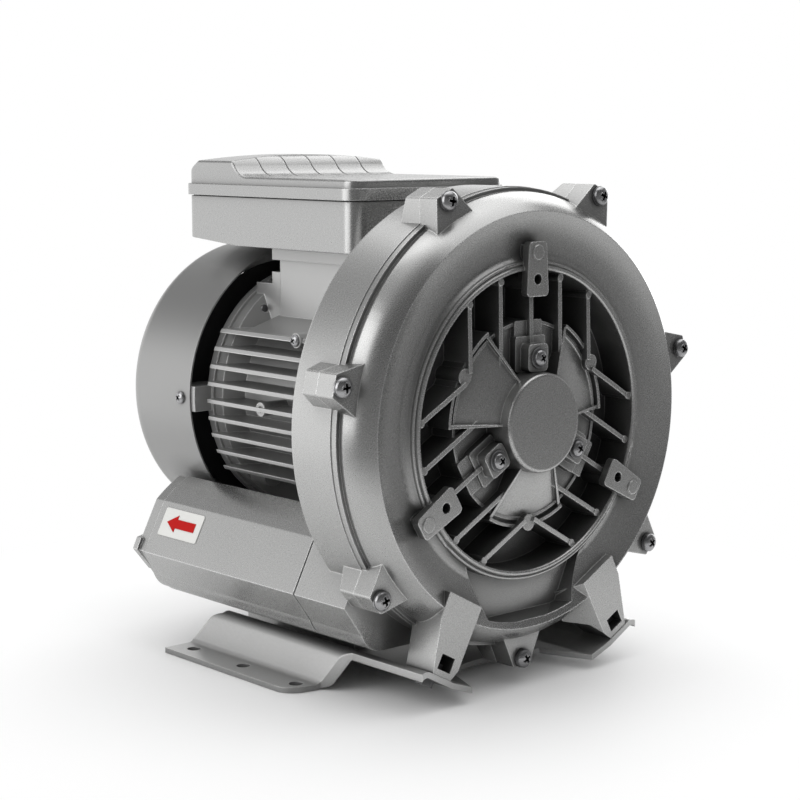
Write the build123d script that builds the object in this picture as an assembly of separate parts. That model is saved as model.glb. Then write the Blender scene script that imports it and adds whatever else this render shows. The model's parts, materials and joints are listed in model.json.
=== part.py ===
from build123d import *
import os
from math import asin, atan2, cos, degrees, hypot, radians, sin, sqrt, tan

# Side channel blower, in millimetres, +Z up.
# It is drawn about its shaft, which runs along Y, with y = 0 at the joint of cover and housing and
# the cover towards -Y. Last of all, everything is lifted onto its foot, whose hole pattern is centred
# on the origin.

# Driving dimensions: shaft line and foot
SHAFT_HEIGHT = 168.0
FOOT_HOLE_SPAN = 230.0
FOOT_HOLE_PITCH = 54.0
FOOT_HOLE_R = 4.5
FOOT_FIRST_HOLE_Y = 69.5
FOOT_HALF_WIDTH = 127.5
FOOT_SHEET = 3.5
FOOT_BEND_R = 6.0
FOOT_FRONT_Y = -26.0
FOOT_REAR_Y = 193.0
FOOT_CREST_X = 95.5
FOOT_KINK_X = 70.5
FOOT_TROUGH_X = 54.0
FOOT_TROUGH_TOP = 10.0
FOOT_KINK_TOP = 16.0

# Housing drum and side channel
DRUM_R = 144.0
DRUM_LENGTH = 37.5
RIM_R = 143.5
RIM_THICK = 4.5
CHANNEL_MID_R = 116.75
CHANNEL_HALF = 17.75
CHANNEL_FRONT_DEPTH = 11.0
CHANNEL_REAR_DEPTH = 19.5
INTERRUPTER_HALF_ANGLE = 31.0
BORE_R = CHANNEL_MID_R + CHANNEL_HALF

# Impeller
RUNNING_GAP = 0.5
SPIGOT_GAP = 0.7
IMPELLER_FRONT = -2.5
IMPELLER_WIDTH = 16.0
IMPELLER_BLADES = 40
BLADE_THICK = 1.8
IMPELLER_HUB_R = 30.0
IMPELLER_WEB = 5.0
IMPELLER_REAR = IMPELLER_FRONT + IMPELLER_WIDTH
IMPELLER_MID = IMPELLER_FRONT + IMPELLER_WIDTH / 2
COVER_LAND = IMPELLER_FRONT - RUNNING_GAP
HOUSING_LAND = IMPELLER_REAR + RUNNING_GAP

# Front cover
HUB_FRONT = -33.5
HUB_CAP_R = 31.0
HUB_WALL = 3.5
RING_INNER_R = 93.5
RING_FRONT = -22.8
POCKET_FLOOR = 1.0
COVER_WALL = 4.0
SPIGOT_R = RING_INNER_R + 3.0
DISH_R = 106.0
DISH_FRONT = -17.0
CREASE_R = 129.5
CREASE_FRONT = -25.0
EAR_COUNT = 7
EAR_TIP_R = DRUM_R + 13.0
EAR_EDGE = 5.2
EAR_SCREW_R = EAR_TIP_R - EAR_EDGE
EAR_FRONT = -15.0
EAR_BASE = 32.0
EAR_TIP = 14.0
EAR_SEAT_R = BORE_R + 2.5
EAR_SLOPE = 5.0
RIB_PITCH = 26.0
RIB_THICK = 3.0
PAD_CIRCLE_R = 64.0
HUB_SCREW_CIRCLE_R = 40.0
TAB_HOLE_CIRCLE_R = 88.0
TAB_FRONT = -26.0
TAB_HOLE_R = 3.3
LUG_ANGLE = 28.5
LUG_FRONT = -25.5
LUG_DEPTH = 24.0

# Shaft, bearings and seal
JOURNAL_R = 10.0
IMPELLER_SEAT_R = 12.0
SHOULDER_R = 15.0
ROTOR_SEAT_R = 14.0
REAR_JOURNAL_R = 8.5
FAN_SEAT_R = 7.5
BEARING_WIDTH = 14.0
BEARING_R = 23.5
BALL_R = 3.95
REAR_BEARING_WIDTH = 12.0
REAR_BEARING_R = 20.0
REAR_BALL_R = 3.35
BALL_COUNT = 8
BALL_PLAY = 0.05
SEAL_R = 21.0
SEAL_WIDTH = 8.0

# Motor
MOTOR_REAR = 193.0
BARREL_R = 70.0
BARREL_BORE_R = 60.0
FIN_R = 92.0
FIN_PITCH = 11.6
FIN_THICK = 2.6
FIN_FIRST_Z = -47.4
FIN_COUNT = 9
MOTOR_FLANGE_R = 95.0
MOTOR_FLANGE = 10.0
MOTOR_BOLT_R = 84.0
STATOR_BORE_R = 36.3
AIR_GAP = 0.35
STATOR_FRONT = 72.0
STATOR_LENGTH = 76.0
END_FLANGE_R = 85.0
COWL_R = 100.0
COWL_SHEET = 1.2
COWL_FRONT = 199.0
COWL_REAR = 271.0
COWL_CORNER = 12.0

# Terminal box
BOX_HALF_X = 66.8
BOX_FRONT = 68.5
BOX_REAR = 246.0
BOX_BOTTOM = 101.5
BOX_SEAM = 134.5
BOX_WALL = 3.0
BOX_CORNER = 10.0
LID_BAND = 7.5
LID_OVERHANG = 2.2
LID_GASKET = 0.8
LID_SHELF = 147.5
LID_RAISE = 14.0
LID_TOP = LID_SHELF + LID_RAISE
LID_CREASES = 5
PEDESTAL_HALF_X = 48.0
PEDESTAL_FRONT = 84.0
PEDESTAL_REAR = 166.0
PEDESTAL_PLATE = 7.5
GASKET = 1.5

# Silencers and ports
PORT_X = 82.0
PORT_Z = -97.0
PORT_THREAD_R = 19.5
PORT_BORE_R = 18.0
SILENCER_FRONT = 60.0
SILENCER_REAR = 220.0
SILENCER_BOTTOM = -135.0
SILENCER_INNER_X = 40.0
END_CAP = 12.0
DUCT_FRONT = 11.0
SILENCER_WALL = 4.0
SCOOP_R = 104.0

# Fasteners
M4_R = 2.0
M5_R = 2.5
M6_R = 3.0
HOLE_PLAY = 0.3

FOOT_CENTRE_Y = FOOT_FIRST_HOLE_Y + FOOT_HOLE_PITCH
EAR_ANGLES = [-90.0 + k * 360.0 / EAR_COUNT for k in range(EAR_COUNT)]
SECTOR_ANGLES = [90.0, 210.0, 330.0]
EDGE_ANGLES = [30.0, 150.0, 270.0]


def outline(start, *steps):
    """Closed face in the (radius, y) plane. A step is a point, or a pair (point on arc, end)."""
    edges, here = [], start
    for step in steps:
        if isinstance(step[0], tuple):
            edges.append(ThreePointArc(here, step[0], step[1]))
            here = step[1]
        else:
            edges.append(Line(here, step))
            here = step
    edges.append(Line(here, start))
    return make_face(edges)


def turned(face):
    return revolve(face, Axis.Y)


def prism(sketch, y0, y1):
    """Sketch drawn in (x, z), carried along Y from y0 to y1."""
    return extrude(Plane.XZ.offset(-y1) * sketch, y1 - y0, dir=(0, -1, 0))


def rod(radius, y0, y1, x=0.0, z=0.0):
    return prism(Pos(x, z) * Circle(radius), y0, y1)


def ring(outer, inner, y0, y1, x=0.0, z=0.0):
    return prism(Pos(x, z) * (Circle(outer) - Circle(inner)), y0, y1)


def around(shape, angle):
    """Turns what was drawn on the +X side about the shaft to a polar angle in the (x, z) plane."""
    return Rot(0, -angle, 0) * shape


def polar(radius, angle):
    return radius * cos(radians(angle)), radius * sin(radians(angle))


def wedge(half_angle, radius, y0, y1):
    side = radius * tan(radians(half_angle))
    return prism(Polygon((0, 0), (radius, -side), (radius, side), align=None), y0, y1)


def block(x0, x1, y0, y1, z0, z1):
    centre = ((x0 + x1) / 2, (y0 + y1) / 2, (z0 + z1) / 2)
    return Pos(*centre) * Box(x1 - x0, y1 - y0, z1 - z0)


def mirrored(shape):
    return mirror(shape, Plane.YZ)


def group(shapes):
    solids = []
    for shape in shapes:
        solids.extend(shape.solids())
    return Compound(solids)


def pan_screw(shank_r, length, head_r, head_height):
    """Screw along +Y with its head's seat at y = 0 and a domed head towards -Y."""
    edge = head_height * 0.45
    head = turned(outline((0, -head_height), ((head_r * 0.62, -head_height * 0.86), (head_r, -edge)),
                          (head_r, 0), (0, 0)))
    return head + rod(shank_r, 0, length)


def hex_bolt(shank_r, length, across, head_height):
    head = prism(RegularPolygon(across / 2, 6, major_radius=False), -head_height, 0)
    return head + rod(shank_r, 0, length)


def channel_core(land, deepest):
    """Half of the side channel, as a solid to cut, interrupted at the bottom."""
    inner = CHANNEL_MID_R - CHANNEL_HALF
    outer = CHANNEL_MID_R + CHANNEL_HALF
    core = turned(outline((inner, land), ((CHANNEL_MID_R, deepest), (outer, land))))
    low, high = min(land, deepest) - 1, max(land, deepest) + 1
    return core - around(wedge(INTERRUPTER_HALF_ANGLE, DRUM_R, low, high), -90)


# Front cover with its hub, ribs, tabs, ears and foot lugs

SEAT_BOTTOM = HUB_FRONT + HUB_WALL + 1.0
RETAINER_SEAT = SEAT_BOTTOM + BEARING_WIDTH
RETAINER_THICK = 3.5
RETAINER_R = 27.5
RETAINER_EAR_R = 7.0
HUB_PLATE_R = 62.5
HUB_PLATE_FRONT = -15.0
HUB_BACK = -10.0
HUB_BACK_R = HUB_PLATE_R - COVER_WALL
COVER_BACK = POCKET_FLOOR + COVER_WALL
FRAME_FRONT = -20.0
LEDGE_FRONT = -18.0
RIB_FRONT = -19.8
LOBE_R = 67.0
LOBE_HALF_ANGLE = 29.0
SCREW_PAD_FRONT = -27.0


def cover_shell():
    shell = turned(outline(
        (0, HUB_FRONT), (HUB_CAP_R - 2.5, HUB_FRONT),
        ((HUB_CAP_R - 0.7, HUB_FRONT + 0.7), (HUB_CAP_R, HUB_FRONT + 2.5)),
        (HUB_CAP_R + 1.5, HUB_PLATE_FRONT), (HUB_PLATE_R - 2.5, HUB_PLATE_FRONT),
        (HUB_PLATE_R - 2.0, HUB_PLATE_FRONT - 1.5), (HUB_PLATE_R, HUB_PLATE_FRONT - 1.5),
        (HUB_PLATE_R + 0.5, POCKET_FLOOR), (RING_INNER_R - 1.0, POCKET_FLOOR),
        (RING_INNER_R, RING_FRONT + 1.2),
        ((RING_INNER_R + 1.6, RING_FRONT), (RING_INNER_R + 3.2, RING_FRONT + 1.2)),
        (RING_INNER_R + 3.4, RING_FRONT + 2.2),
        ((RING_INNER_R + 4.6, RING_FRONT + 1.4), (RING_INNER_R + 5.8, RING_FRONT + 2.2)),
        (RING_INNER_R + 6.2, RING_FRONT + 3.4),
        ((RING_INNER_R + 8.6, DISH_FRONT - 0.4), (DISH_R, DISH_FRONT)),
        ((DISH_R + 13.0, DISH_FRONT - 3.2), (CREASE_R, CREASE_FRONT)),
        ((RIM_R - 6.2, CREASE_FRONT + 8.5), (RIM_R - 2.5, -RIM_THICK - 3.0)),
        (RIM_R - 2.5, -RIM_THICK), (RIM_R, -RIM_THICK), (RIM_R, 0),
        (BORE_R, 0), (BORE_R, COVER_LAND), (SPIGOT_R, COVER_LAND), (SPIGOT_R, COVER_BACK),
        (HUB_BACK_R, COVER_BACK), (HUB_BACK_R - 2.0, HUB_BACK), (RETAINER_R + 0.5, HUB_BACK),
        (RETAINER_R + 0.5, RETAINER_SEAT), (BEARING_R, RETAINER_SEAT), (BEARING_R, SEAT_BOTTOM),
        (BEARING_R - 3.5, SEAT_BOTTOM), (BEARING_R - 3.5, HUB_FRONT + HUB_WALL),
        (0, HUB_FRONT + HUB_WALL)))
    return shell


def cover_lobe():
    """Dished plate with a raised edge between the ribs of two neighbouring sectors."""
    floor = POCKET_FLOOR + 0.5
    plate = turned(outline((HUB_CAP_R, -26.0), (LOBE_R - 2.5, -14.5), (LOBE_R - 2.0, -18.0),
                           (LOBE_R, -18.0), (LOBE_R, floor), (HUB_PLATE_R - 1.0, floor),
                           (HUB_PLATE_R - 2.0, HUB_PLATE_FRONT + 3.0),
                           (HUB_CAP_R, HUB_PLATE_FRONT + 1.0)))
    lip = turned(outline((HUB_CAP_R, -27.5), (LOBE_R, -16.5), (LOBE_R, -12.0), (HUB_CAP_R, -22.0)))
    reach, half = LOBE_R + 2.0, LOBE_HALF_ANGLE
    sides = wedge(half, reach, -30.0, floor) - wedge(half - 2.0, reach, -30.0, floor)
    return (plate & wedge(half, reach, -30.0, floor)) + (lip & sides)


def screw_frame():
    """Stepped block round each hub screw, which carries the screw's square pad."""
    pad = Pos(HUB_SCREW_CIRCLE_R, 0) * RectangleRounded(17.0, 17.0, 3.0)
    frame = Pos(HUB_SCREW_CIRCLE_R + 2.0, 0) * RectangleRounded(22.0, 26.0, 2.0)
    ledge = Pos(HUB_PLATE_R - 6.5, 0) * RectangleRounded(13.0, 24.0, 1.5)
    back = HUB_PLATE_FRONT + 2.0
    return (prism(pad, SCREW_PAD_FRONT, back) + prism(frame, FRAME_FRONT, back)
            + prism(ledge, LEDGE_FRONT, back))


def retainer_outline(grow=0.0):
    """Disc with an ear at each hub screw."""
    shape = Circle(RETAINER_R + grow)
    for angle in SECTOR_ANGLES:
        arm = Pos(HUB_SCREW_CIRCLE_R / 2, 0) * Rectangle(HUB_SCREW_CIRCLE_R, 2 * (RETAINER_EAR_R + grow))
        shape += Rot(0, 0, angle) * (arm + Pos(HUB_SCREW_CIRCLE_R, 0) * Circle(RETAINER_EAR_R + grow))
    return shape


def rib(offset, start):
    end = sqrt(RING_INNER_R ** 2 - offset ** 2)
    side = Polygon((start, POCKET_FLOOR + 0.5), (start, RIB_FRONT - 1.5), (end + 0.8, RIB_FRONT),
                   (end + 0.8, POCKET_FLOOR + 0.5), align=None)
    plate = Pos(0, 0, offset - RIB_THICK / 2) * extrude(side, RIB_THICK)
    bump = rod(RIB_THICK * 0.8, RIB_FRONT - 0.6, POCKET_FLOOR + 0.5, end - 2.6, offset)
    return plate + bump


def cover_ribs():
    outer = 2 * RIB_PITCH
    inner_start = sqrt(HUB_CAP_R ** 2 - RIB_PITCH ** 2)
    sector = rib(0.0, HUB_SCREW_CIRCLE_R + 3.0)
    for side in (-1, 1):
        sector += rib(side * RIB_PITCH, inner_start)
        sector += rib(side * outer, PAD_CIRCLE_R / 2 + 2.0)
    return sector


def mounting_tab():
    """Tab with a threaded hole, for standing the blower on its cover."""
    plate = Polygon((77.5, -9.5), (111.0, -7.5), (111.0, 7.5), (77.5, 9.5), align=None)
    plate = fillet(plate.vertices(), 3.0)
    tab = prism(plate, TAB_FRONT, TAB_FRONT + 5.0)
    leg = prism(Pos(98.5, 0) * Rectangle(21.0, 13.0), TAB_FRONT + 4.0, DISH_FRONT + 1.5)
    boss = rod(6.5, TAB_FRONT + 1.0, POCKET_FLOOR + 0.5, TAB_HOLE_CIRCLE_R, 0)
    pad = rod(4.6, TAB_FRONT - 0.7, TAB_FRONT + 1.0, 104.5, 0)
    return tab + leg + boss + pad


def ear(y0, y1):
    """Ear on the rim: a trapezoid seen from the front, with a straight back."""
    base, tip = EAR_BASE / 2, EAR_TIP / 2
    face = Polygon((EAR_SEAT_R, -base), (EAR_TIP_R, -tip), (EAR_TIP_R, tip), (EAR_SEAT_R, base),
                   align=None)
    face = fillet(face.vertices().sort_by(Axis.X)[-2:], 1.5)
    return prism(face, y0, y1)


def housing_ear():
    """Ear of the housing, whose back slopes down to the drum."""
    end = EAR_REAR + EAR_SLOPE
    plan = Polygon((EAR_SEAT_R, 0), (EAR_TIP_R, 0), (EAR_TIP_R, EAR_REAR), (DRUM_R - 2.0, end),
                   (EAR_SEAT_R, end), align=None)
    return ear(0, end) & Pos(0, 0, -EAR_BASE) * extrude(plan, 2 * EAR_BASE)


def foot_lug():
    """Tapering lug that stands on the sloped tongue of the foot, with its nut window."""
    low, back = LUG_SEAT_R, LUG_FRONT + LUG_DEPTH
    shape = Polygon((118.0, -30.0), (RIM_R - 2.0, -27.0), (low - 17.0, -16.5), (low, -8.2), (low, 7.4),
                    (low - 34.0, 17.5), (118.0, 18.0), align=None)
    lug = prism(shape, LUG_FRONT, back)
    flank = Polygon((LUG_FRONT - 1, -40.0), (back - 8.0, -40.0), (back - 8.0, -27.0),
                    (LUG_FRONT - 1, -11.0), align=None)
    lug -= extrude(Plane.YZ.offset(100.0) * flank, 80.0)
    height = LUG_WINDOW - LUG_FLOOR
    window = Pos(low - LUG_FLOOR - height / 2, LUG_BOLT_Y, 0) * Box(height, 2 * LUG_DEPTH, NUT_SIDE + 1.5)
    window = window & block(0, 200, LUG_FRONT - 1, LUG_BOLT_Y + NUT_SIDE / 2 + 1.5, -20, 20)
    return lug - window


def cover_pocket():
    """Recess in the bulge below the ring, where the side channel is interrupted."""
    shape = Polygon((-52.0, -82.0), (-33.0, -122.0), (33.0, -122.0), (52.0, -82.0), align=None)
    cut = extrude(Plane.XZ.offset(-POCKET_BACK) * shape, 28.0, taper=-14.0)
    within = ring(CREASE_R - 4.0, RING_INNER_R + 6.0, -40.0, 0.0)
    return cut & within


POCKET_BACK = -11.0
LUG_BOLT_Y = LUG_FRONT + 12.0
LUG_FLOOR = 4.0
LUG_WINDOW = 13.5
NUT_THICK = 4.0
LUG_NUT_DEPTH = LUG_FLOOR + NUT_THICK / 2
NUT_SIDE = 10.0
FOOT_WING_MIDDLE = FOOT_KINK_TOP - FOOT_SHEET / 2 - SHAFT_HEIGHT
LUG_SEAT_R = (FOOT_KINK_X * sin(radians(LUG_ANGLE)) - FOOT_WING_MIDDLE * cos(radians(LUG_ANGLE))
              - FOOT_SHEET / 2)


def front_cover():
    cover = cover_shell()
    for angle in EDGE_ANGLES:
        cover += around(cover_lobe(), angle)
        cover += rod(5.2, -20.0, POCKET_FLOOR + 0.5, *polar(PAD_CIRCLE_R, angle))
    ribs = cover_ribs()
    for angle in SECTOR_ANGLES:
        cover += around(ribs, angle)
        cover += around(mounting_tab(), angle)
        cover += around(screw_frame(), angle)
    cover -= turned(outline((0, HUB_BACK), (HUB_BACK_R - 2.0, HUB_BACK), (HUB_BACK_R, COVER_BACK),
                            (HUB_BACK_R, COVER_BACK + 1), (0, COVER_BACK + 1)))
    cover -= prism(retainer_outline(0.5), RETAINER_SEAT, HUB_BACK + 1)
    cover -= cover_pocket()
    for angle in EAR_ANGLES:
        cover += around(ear(EAR_FRONT, 0.0), angle)
    for angle in (-90 - LUG_ANGLE, -90 + LUG_ANGLE):
        lug = foot_lug() if angle > -90 else mirror(foot_lug(), Plane.XY)
        cover += around(lug, angle)
    cover -= ring(BORE_R, SPIGOT_R, COVER_LAND, 1.0)
    cover -= channel_core(COVER_LAND, COVER_LAND - CHANNEL_FRONT_DEPTH)
    for angle in EAR_ANGLES:
        cover -= rod(M6_R + HOLE_PLAY, EAR_FRONT - 1, 1, *polar(EAR_SCREW_R, angle))
    for angle in SECTOR_ANGLES:
        cover -= rod(M5_R + HOLE_PLAY, SCREW_PAD_FRONT - 1, 0, *polar(HUB_SCREW_CIRCLE_R, angle))
        cover -= rod(TAB_HOLE_R, TAB_FRONT - 1, TAB_FRONT + 14.0, *polar(TAB_HOLE_CIRCLE_R, angle))
    for angle in (-90 - LUG_ANGLE, -90 + LUG_ANGLE):
        hole = Pos(LUG_SEAT_R, LUG_BOLT_Y, 0) * Rot(0, 90, 0) * Cylinder(M6_R + HOLE_PLAY, 44.0)
        cover -= around(hole, angle)
    return cover


def bearing_retainer():
    plate = prism(retainer_outline() - Circle(IMPELLER_SEAT_R + 6.0), RETAINER_SEAT,
                  RETAINER_SEAT + RETAINER_THICK)
    for angle in SECTOR_ANGLES:
        plate -= rod(M5_R, RETAINER_SEAT - 1, RETAINER_SEAT + RETAINER_THICK + 1,
                     *polar(HUB_SCREW_CIRCLE_R, angle))
    return plate


def hub_screws():
    length = RETAINER_SEAT + RETAINER_THICK - SCREW_PAD_FRONT + WASHER
    screw = pan_screw(M5_R, length, 5.0, 3.4)
    places = [polar(HUB_SCREW_CIRCLE_R, angle) for angle in SECTOR_ANGLES]
    return group([Pos(x, SCREW_PAD_FRONT - WASHER, z) * screw for x, z in places])


def hub_washers():
    places = [polar(HUB_SCREW_CIRCLE_R, angle) for angle in SECTOR_ANGLES]
    return group([ring(6.6, M5_R + HOLE_PLAY, SCREW_PAD_FRONT - WASHER, SCREW_PAD_FRONT, x, z)
                  for x, z in places])


WASHER = 1.2
WASHER_R = 6.2
EAR_REAR = 12.0
COVER_SCREW_LENGTH = 26.0


def cover_screws():
    screw = pan_screw(M6_R, COVER_SCREW_LENGTH, 5.9, 4.0)
    places = [polar(EAR_SCREW_R, angle) for angle in EAR_ANGLES]
    return group([Pos(x, EAR_FRONT - WASHER, z) * screw for x, z in places])


def cover_washers():
    places = [polar(EAR_SCREW_R, angle) for angle in EAR_ANGLES]
    return group([ring(WASHER_R, M6_R + HOLE_PLAY, EAR_FRONT - WASHER, EAR_FRONT, x, z)
                  for x, z in places])


# Rear housing with the ducts that lead to the silencers

SEAL_FRONT = 23.0
HUB_RECESS_R = IMPELLER_HUB_R + 2.0


CREASE = (-124.5, -104.0)
FLANK_TOP = (-107.5, -71.0)


def silencer_section(inset=0.0):
    """Cross-section of the left silencer in (x, z): pitched outer side, top scooped for the cowl."""
    start = polar(SCOOP_R, 213.0)
    inner = (-SILENCER_INNER_X, -sqrt(SCOOP_R ** 2 - SILENCER_INNER_X ** 2))
    bottom = SILENCER_BOTTOM
    edges = [ThreePointArc(start, polar(SCOOP_R, 230.0), inner),
             Polyline(inner, (-SILENCER_INNER_X, bottom), (-95.0, bottom)),
             ThreePointArc((-95.0, bottom), (-104.5, bottom + 3.3), (-111.0, bottom + 12.0)),
             Polyline((-111.0, bottom + 12.0), CREASE, FLANK_TOP),
             ThreePointArc(FLANK_TOP, (-99.5, -64.5), start)]
    face = make_face(edges)
    if inset:
        face = offset(face, -inset, kind=Kind.INTERSECTION)
    return face


def duct():
    groove = SILENCER_FRONT - 1.4
    body = prism(silencer_section(), DUCT_FRONT, groove)
    body += prism(silencer_section(0.9), groove, SILENCER_FRONT)
    return body - rod(BORE_R, 0, DRUM_LENGTH - 1.0)


def rear_housing():
    rear = DRUM_LENGTH
    shell = turned(outline(
        (BORE_R, 0), (DRUM_R, 0), (DRUM_R, rear - 3.0), ((DRUM_R - 0.9, rear - 0.9), (DRUM_R - 3.0, rear)),
        (BARREL_BORE_R, rear), (BARREL_BORE_R, rear - 3.5), (SHOULDER_R + 1.0, rear - 3.5),
        (SHOULDER_R + 1.0, SEAL_FRONT + SEAL_WIDTH), (SEAL_R, SEAL_FRONT + SEAL_WIDTH),
        (SEAL_R, SEAL_FRONT), (HUB_RECESS_R, SEAL_FRONT), (HUB_RECESS_R, HOUSING_LAND),
        (CHANNEL_MID_R - CHANNEL_HALF, HOUSING_LAND), (BORE_R, HOUSING_LAND)))
    for side in (1, -1):
        shell += duct() if side > 0 else mirrored(duct())
    for angle in EAR_ANGLES:
        shell += around(housing_ear(), angle)
    shell -= channel_core(HOUSING_LAND, HOUSING_LAND + CHANNEL_REAR_DEPTH)
    for x in (-PORT_X, PORT_X):
        shell -= rod(PORT_BORE_R, DRUM_LENGTH - 9.0, SILENCER_FRONT + 1, x, PORT_Z)
        for dx, dz in TIE_PLACES:
            shell -= rod(M5_R, SILENCER_FRONT - 14.0, SILENCER_FRONT + 1,
                         x + dx * (1 if x < 0 else -1), PORT_Z + dz)
    for angle in EAR_ANGLES:
        shell -= rod(M6_R, -1, EAR_FRONT + COVER_SCREW_LENGTH, *polar(EAR_SCREW_R, angle))
    for x, z in MOTOR_BOLTS:
        shell -= rod(M6_R, rear - 6.0, rear + 1, x, z)
    return shell


TIE_PLACES = [(-16.5, -29.5), (35.0, -29.5)]
MOTOR_BOLTS = [polar(MOTOR_BOLT_R, angle) for angle in (45, 135, 225, 315)]


def shaft_seal():
    lip = ring(SEAL_R, SHOULDER_R + BALL_PLAY, SEAL_FRONT, SEAL_FRONT + SEAL_WIDTH)
    hollow = ring(SEAL_R - 2.0, SHOULDER_R + 1.5, SEAL_FRONT - 1.0, SEAL_FRONT + SEAL_WIDTH - 2.0)
    return lip - hollow


# Rotor: shaft, impeller and motor rotor

SHAFT_FRONT = HUB_FRONT + HUB_WALL + 0.6
HUB_SHOULDER_Y = 22.0
SEAL_SHOULDER_END = 36.0
HUB_START = -8.5
KEY_WIDTH = 6.0
KEY_DEPTH = 3.0
KEY_START = -2.0
KEY_LENGTH = 20.0
SHIELD_SEAT = MOTOR_REAR + 2.0
REAR_BEARING_END = SHIELD_SEAT + REAR_BEARING_WIDTH
SPRING = 1.6
FAN_HUB_FRONT = 216.0
FAN_HUB_REAR = 242.0
FAN_REAR = 252.0
FAN_R = 88.0
FAN_BLADES = 10
CIRCLIP = 1.2


def shaft():
    steps = [(SHAFT_FRONT, RETAINER_SEAT, JOURNAL_R), (RETAINER_SEAT, HUB_SHOULDER_Y, IMPELLER_SEAT_R),
             (HUB_SHOULDER_Y, SEAL_SHOULDER_END, SHOULDER_R),
             (SEAL_SHOULDER_END, SHIELD_SEAT, ROTOR_SEAT_R),
             (SHIELD_SEAT, REAR_BEARING_END, REAR_JOURNAL_R),
             (REAR_BEARING_END, FAN_HUB_REAR + 6.0, FAN_SEAT_R)]
    body = rod(steps[0][2], *steps[0][:2])
    for y0, y1, radius in steps[1:]:
        body += rod(radius, y0, y1)
    body -= block(-KEY_WIDTH / 2, KEY_WIDTH / 2, KEY_START, KEY_START + KEY_LENGTH,
                  IMPELLER_SEAT_R - KEY_DEPTH, IMPELLER_SEAT_R + 1)
    groove = ring(FAN_SEAT_R + 1, FAN_SEAT_R - 0.6, FAN_HUB_REAR, FAN_HUB_REAR + CIRCLIP)
    return body - groove


def shaft_spacer():
    return ring(IMPELLER_SEAT_R + 3.5, IMPELLER_SEAT_R, RETAINER_SEAT, HUB_START)


def impeller_key():
    return block(-KEY_WIDTH / 2, KEY_WIDTH / 2, KEY_START, KEY_START + KEY_LENGTH,
                 IMPELLER_SEAT_R - KEY_DEPTH, IMPELLER_SEAT_R + KEY_DEPTH - 0.2)


def impeller():
    """Wheel with radial vanes on both faces of a curved core, which turns the air in each channel."""
    inner = CHANNEL_MID_R - CHANNEL_HALF
    tip = BORE_R - RUNNING_GAP
    front, rear, mid = IMPELLER_FRONT, IMPELLER_REAR, IMPELLER_MID
    web = COVER_BACK + RUNNING_GAP
    web_rear = web + IMPELLER_WEB
    rim = SPIGOT_R + SPIGOT_GAP
    wheel = turned(outline(
        (IMPELLER_SEAT_R, HUB_START), (IMPELLER_HUB_R - 6.0, HUB_START), (IMPELLER_HUB_R, web - 4.0),
        (IMPELLER_HUB_R + 4.0, web), (rim, web), (rim, front), (inner + 2.0, front),
        ((inner + 7.0, mid - 3.5), (CHANNEL_MID_R, mid - 1.2)), (tip, mid - 0.9), (tip, mid + 0.9),
        (CHANNEL_MID_R, mid + 1.2), ((inner + 7.0, mid + 3.5), (inner + 2.0, rear)),
        (inner - 4.0, rear), (inner - 7.0, web_rear), (IMPELLER_HUB_R + 4.0, web_rear),
        (IMPELLER_HUB_R, web_rear + 4.0), (IMPELLER_HUB_R - 6.0, HUB_SHOULDER_Y),
        (IMPELLER_SEAT_R, HUB_SHOULDER_Y)))
    blade = block(inner, tip, front, rear, -BLADE_THICK / 2, BLADE_THICK / 2)
    blade = blade & rod(tip, front - 1, rear + 1)
    step = 360.0 / IMPELLER_BLADES
    wheel += [around(blade, k * step) for k in range(IMPELLER_BLADES)]
    wheel -= block(-KEY_WIDTH / 2, KEY_WIDTH / 2, HUB_START - 1, HUB_SHOULDER_Y + 1,
                   0, IMPELLER_SEAT_R + KEY_DEPTH)
    return wheel


def rotor_core():
    return ring(STATOR_BORE_R - AIR_GAP, ROTOR_SEAT_R, STATOR_FRONT, STATOR_FRONT + STATOR_LENGTH)


def rotor_end_rings():
    rear = STATOR_FRONT + STATOR_LENGTH
    rings = []
    for y0, y1 in ((STATOR_FRONT - 10.0, STATOR_FRONT), (rear, rear + 10.0)):
        rings.append(ring(STATOR_BORE_R - 1.5, 23.0, y0, y1))
    return group(rings)


def bearing(y0, width, bore_r, outer_r, ball_r):
    """Deep-groove ball bearing: outer ring, inner ring, balls and their cage."""
    pitch_r = (bore_r + outer_r) / 2
    mid = y0 + width / 2
    land = ball_r * 0.45
    groove = Pos(0, mid, 0) * Rot(90, 0, 0) * Torus(pitch_r, ball_r + BALL_PLAY)
    outer = ring(outer_r, pitch_r + land, y0, y0 + width) - groove
    inner = ring(pitch_r - land, bore_r, y0, y0 + width) - groove
    step = 360.0 / BALL_COUNT
    balls = [around(Pos(pitch_r, mid, 0) * Sphere(ball_r), k * step) for k in range(BALL_COUNT)]
    half = land - 0.35
    side = mid + ball_r + 0.3
    cage = ring(pitch_r + half, pitch_r - half, side, side + 1.1)
    prong = block(pitch_r - half, pitch_r + half, mid - 1.5, side + 0.5, -1.2, 1.2)
    cage += [around(prong, (k + 0.5) * step) for k in range(BALL_COUNT)]
    return outer, inner, group(balls), cage


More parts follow.
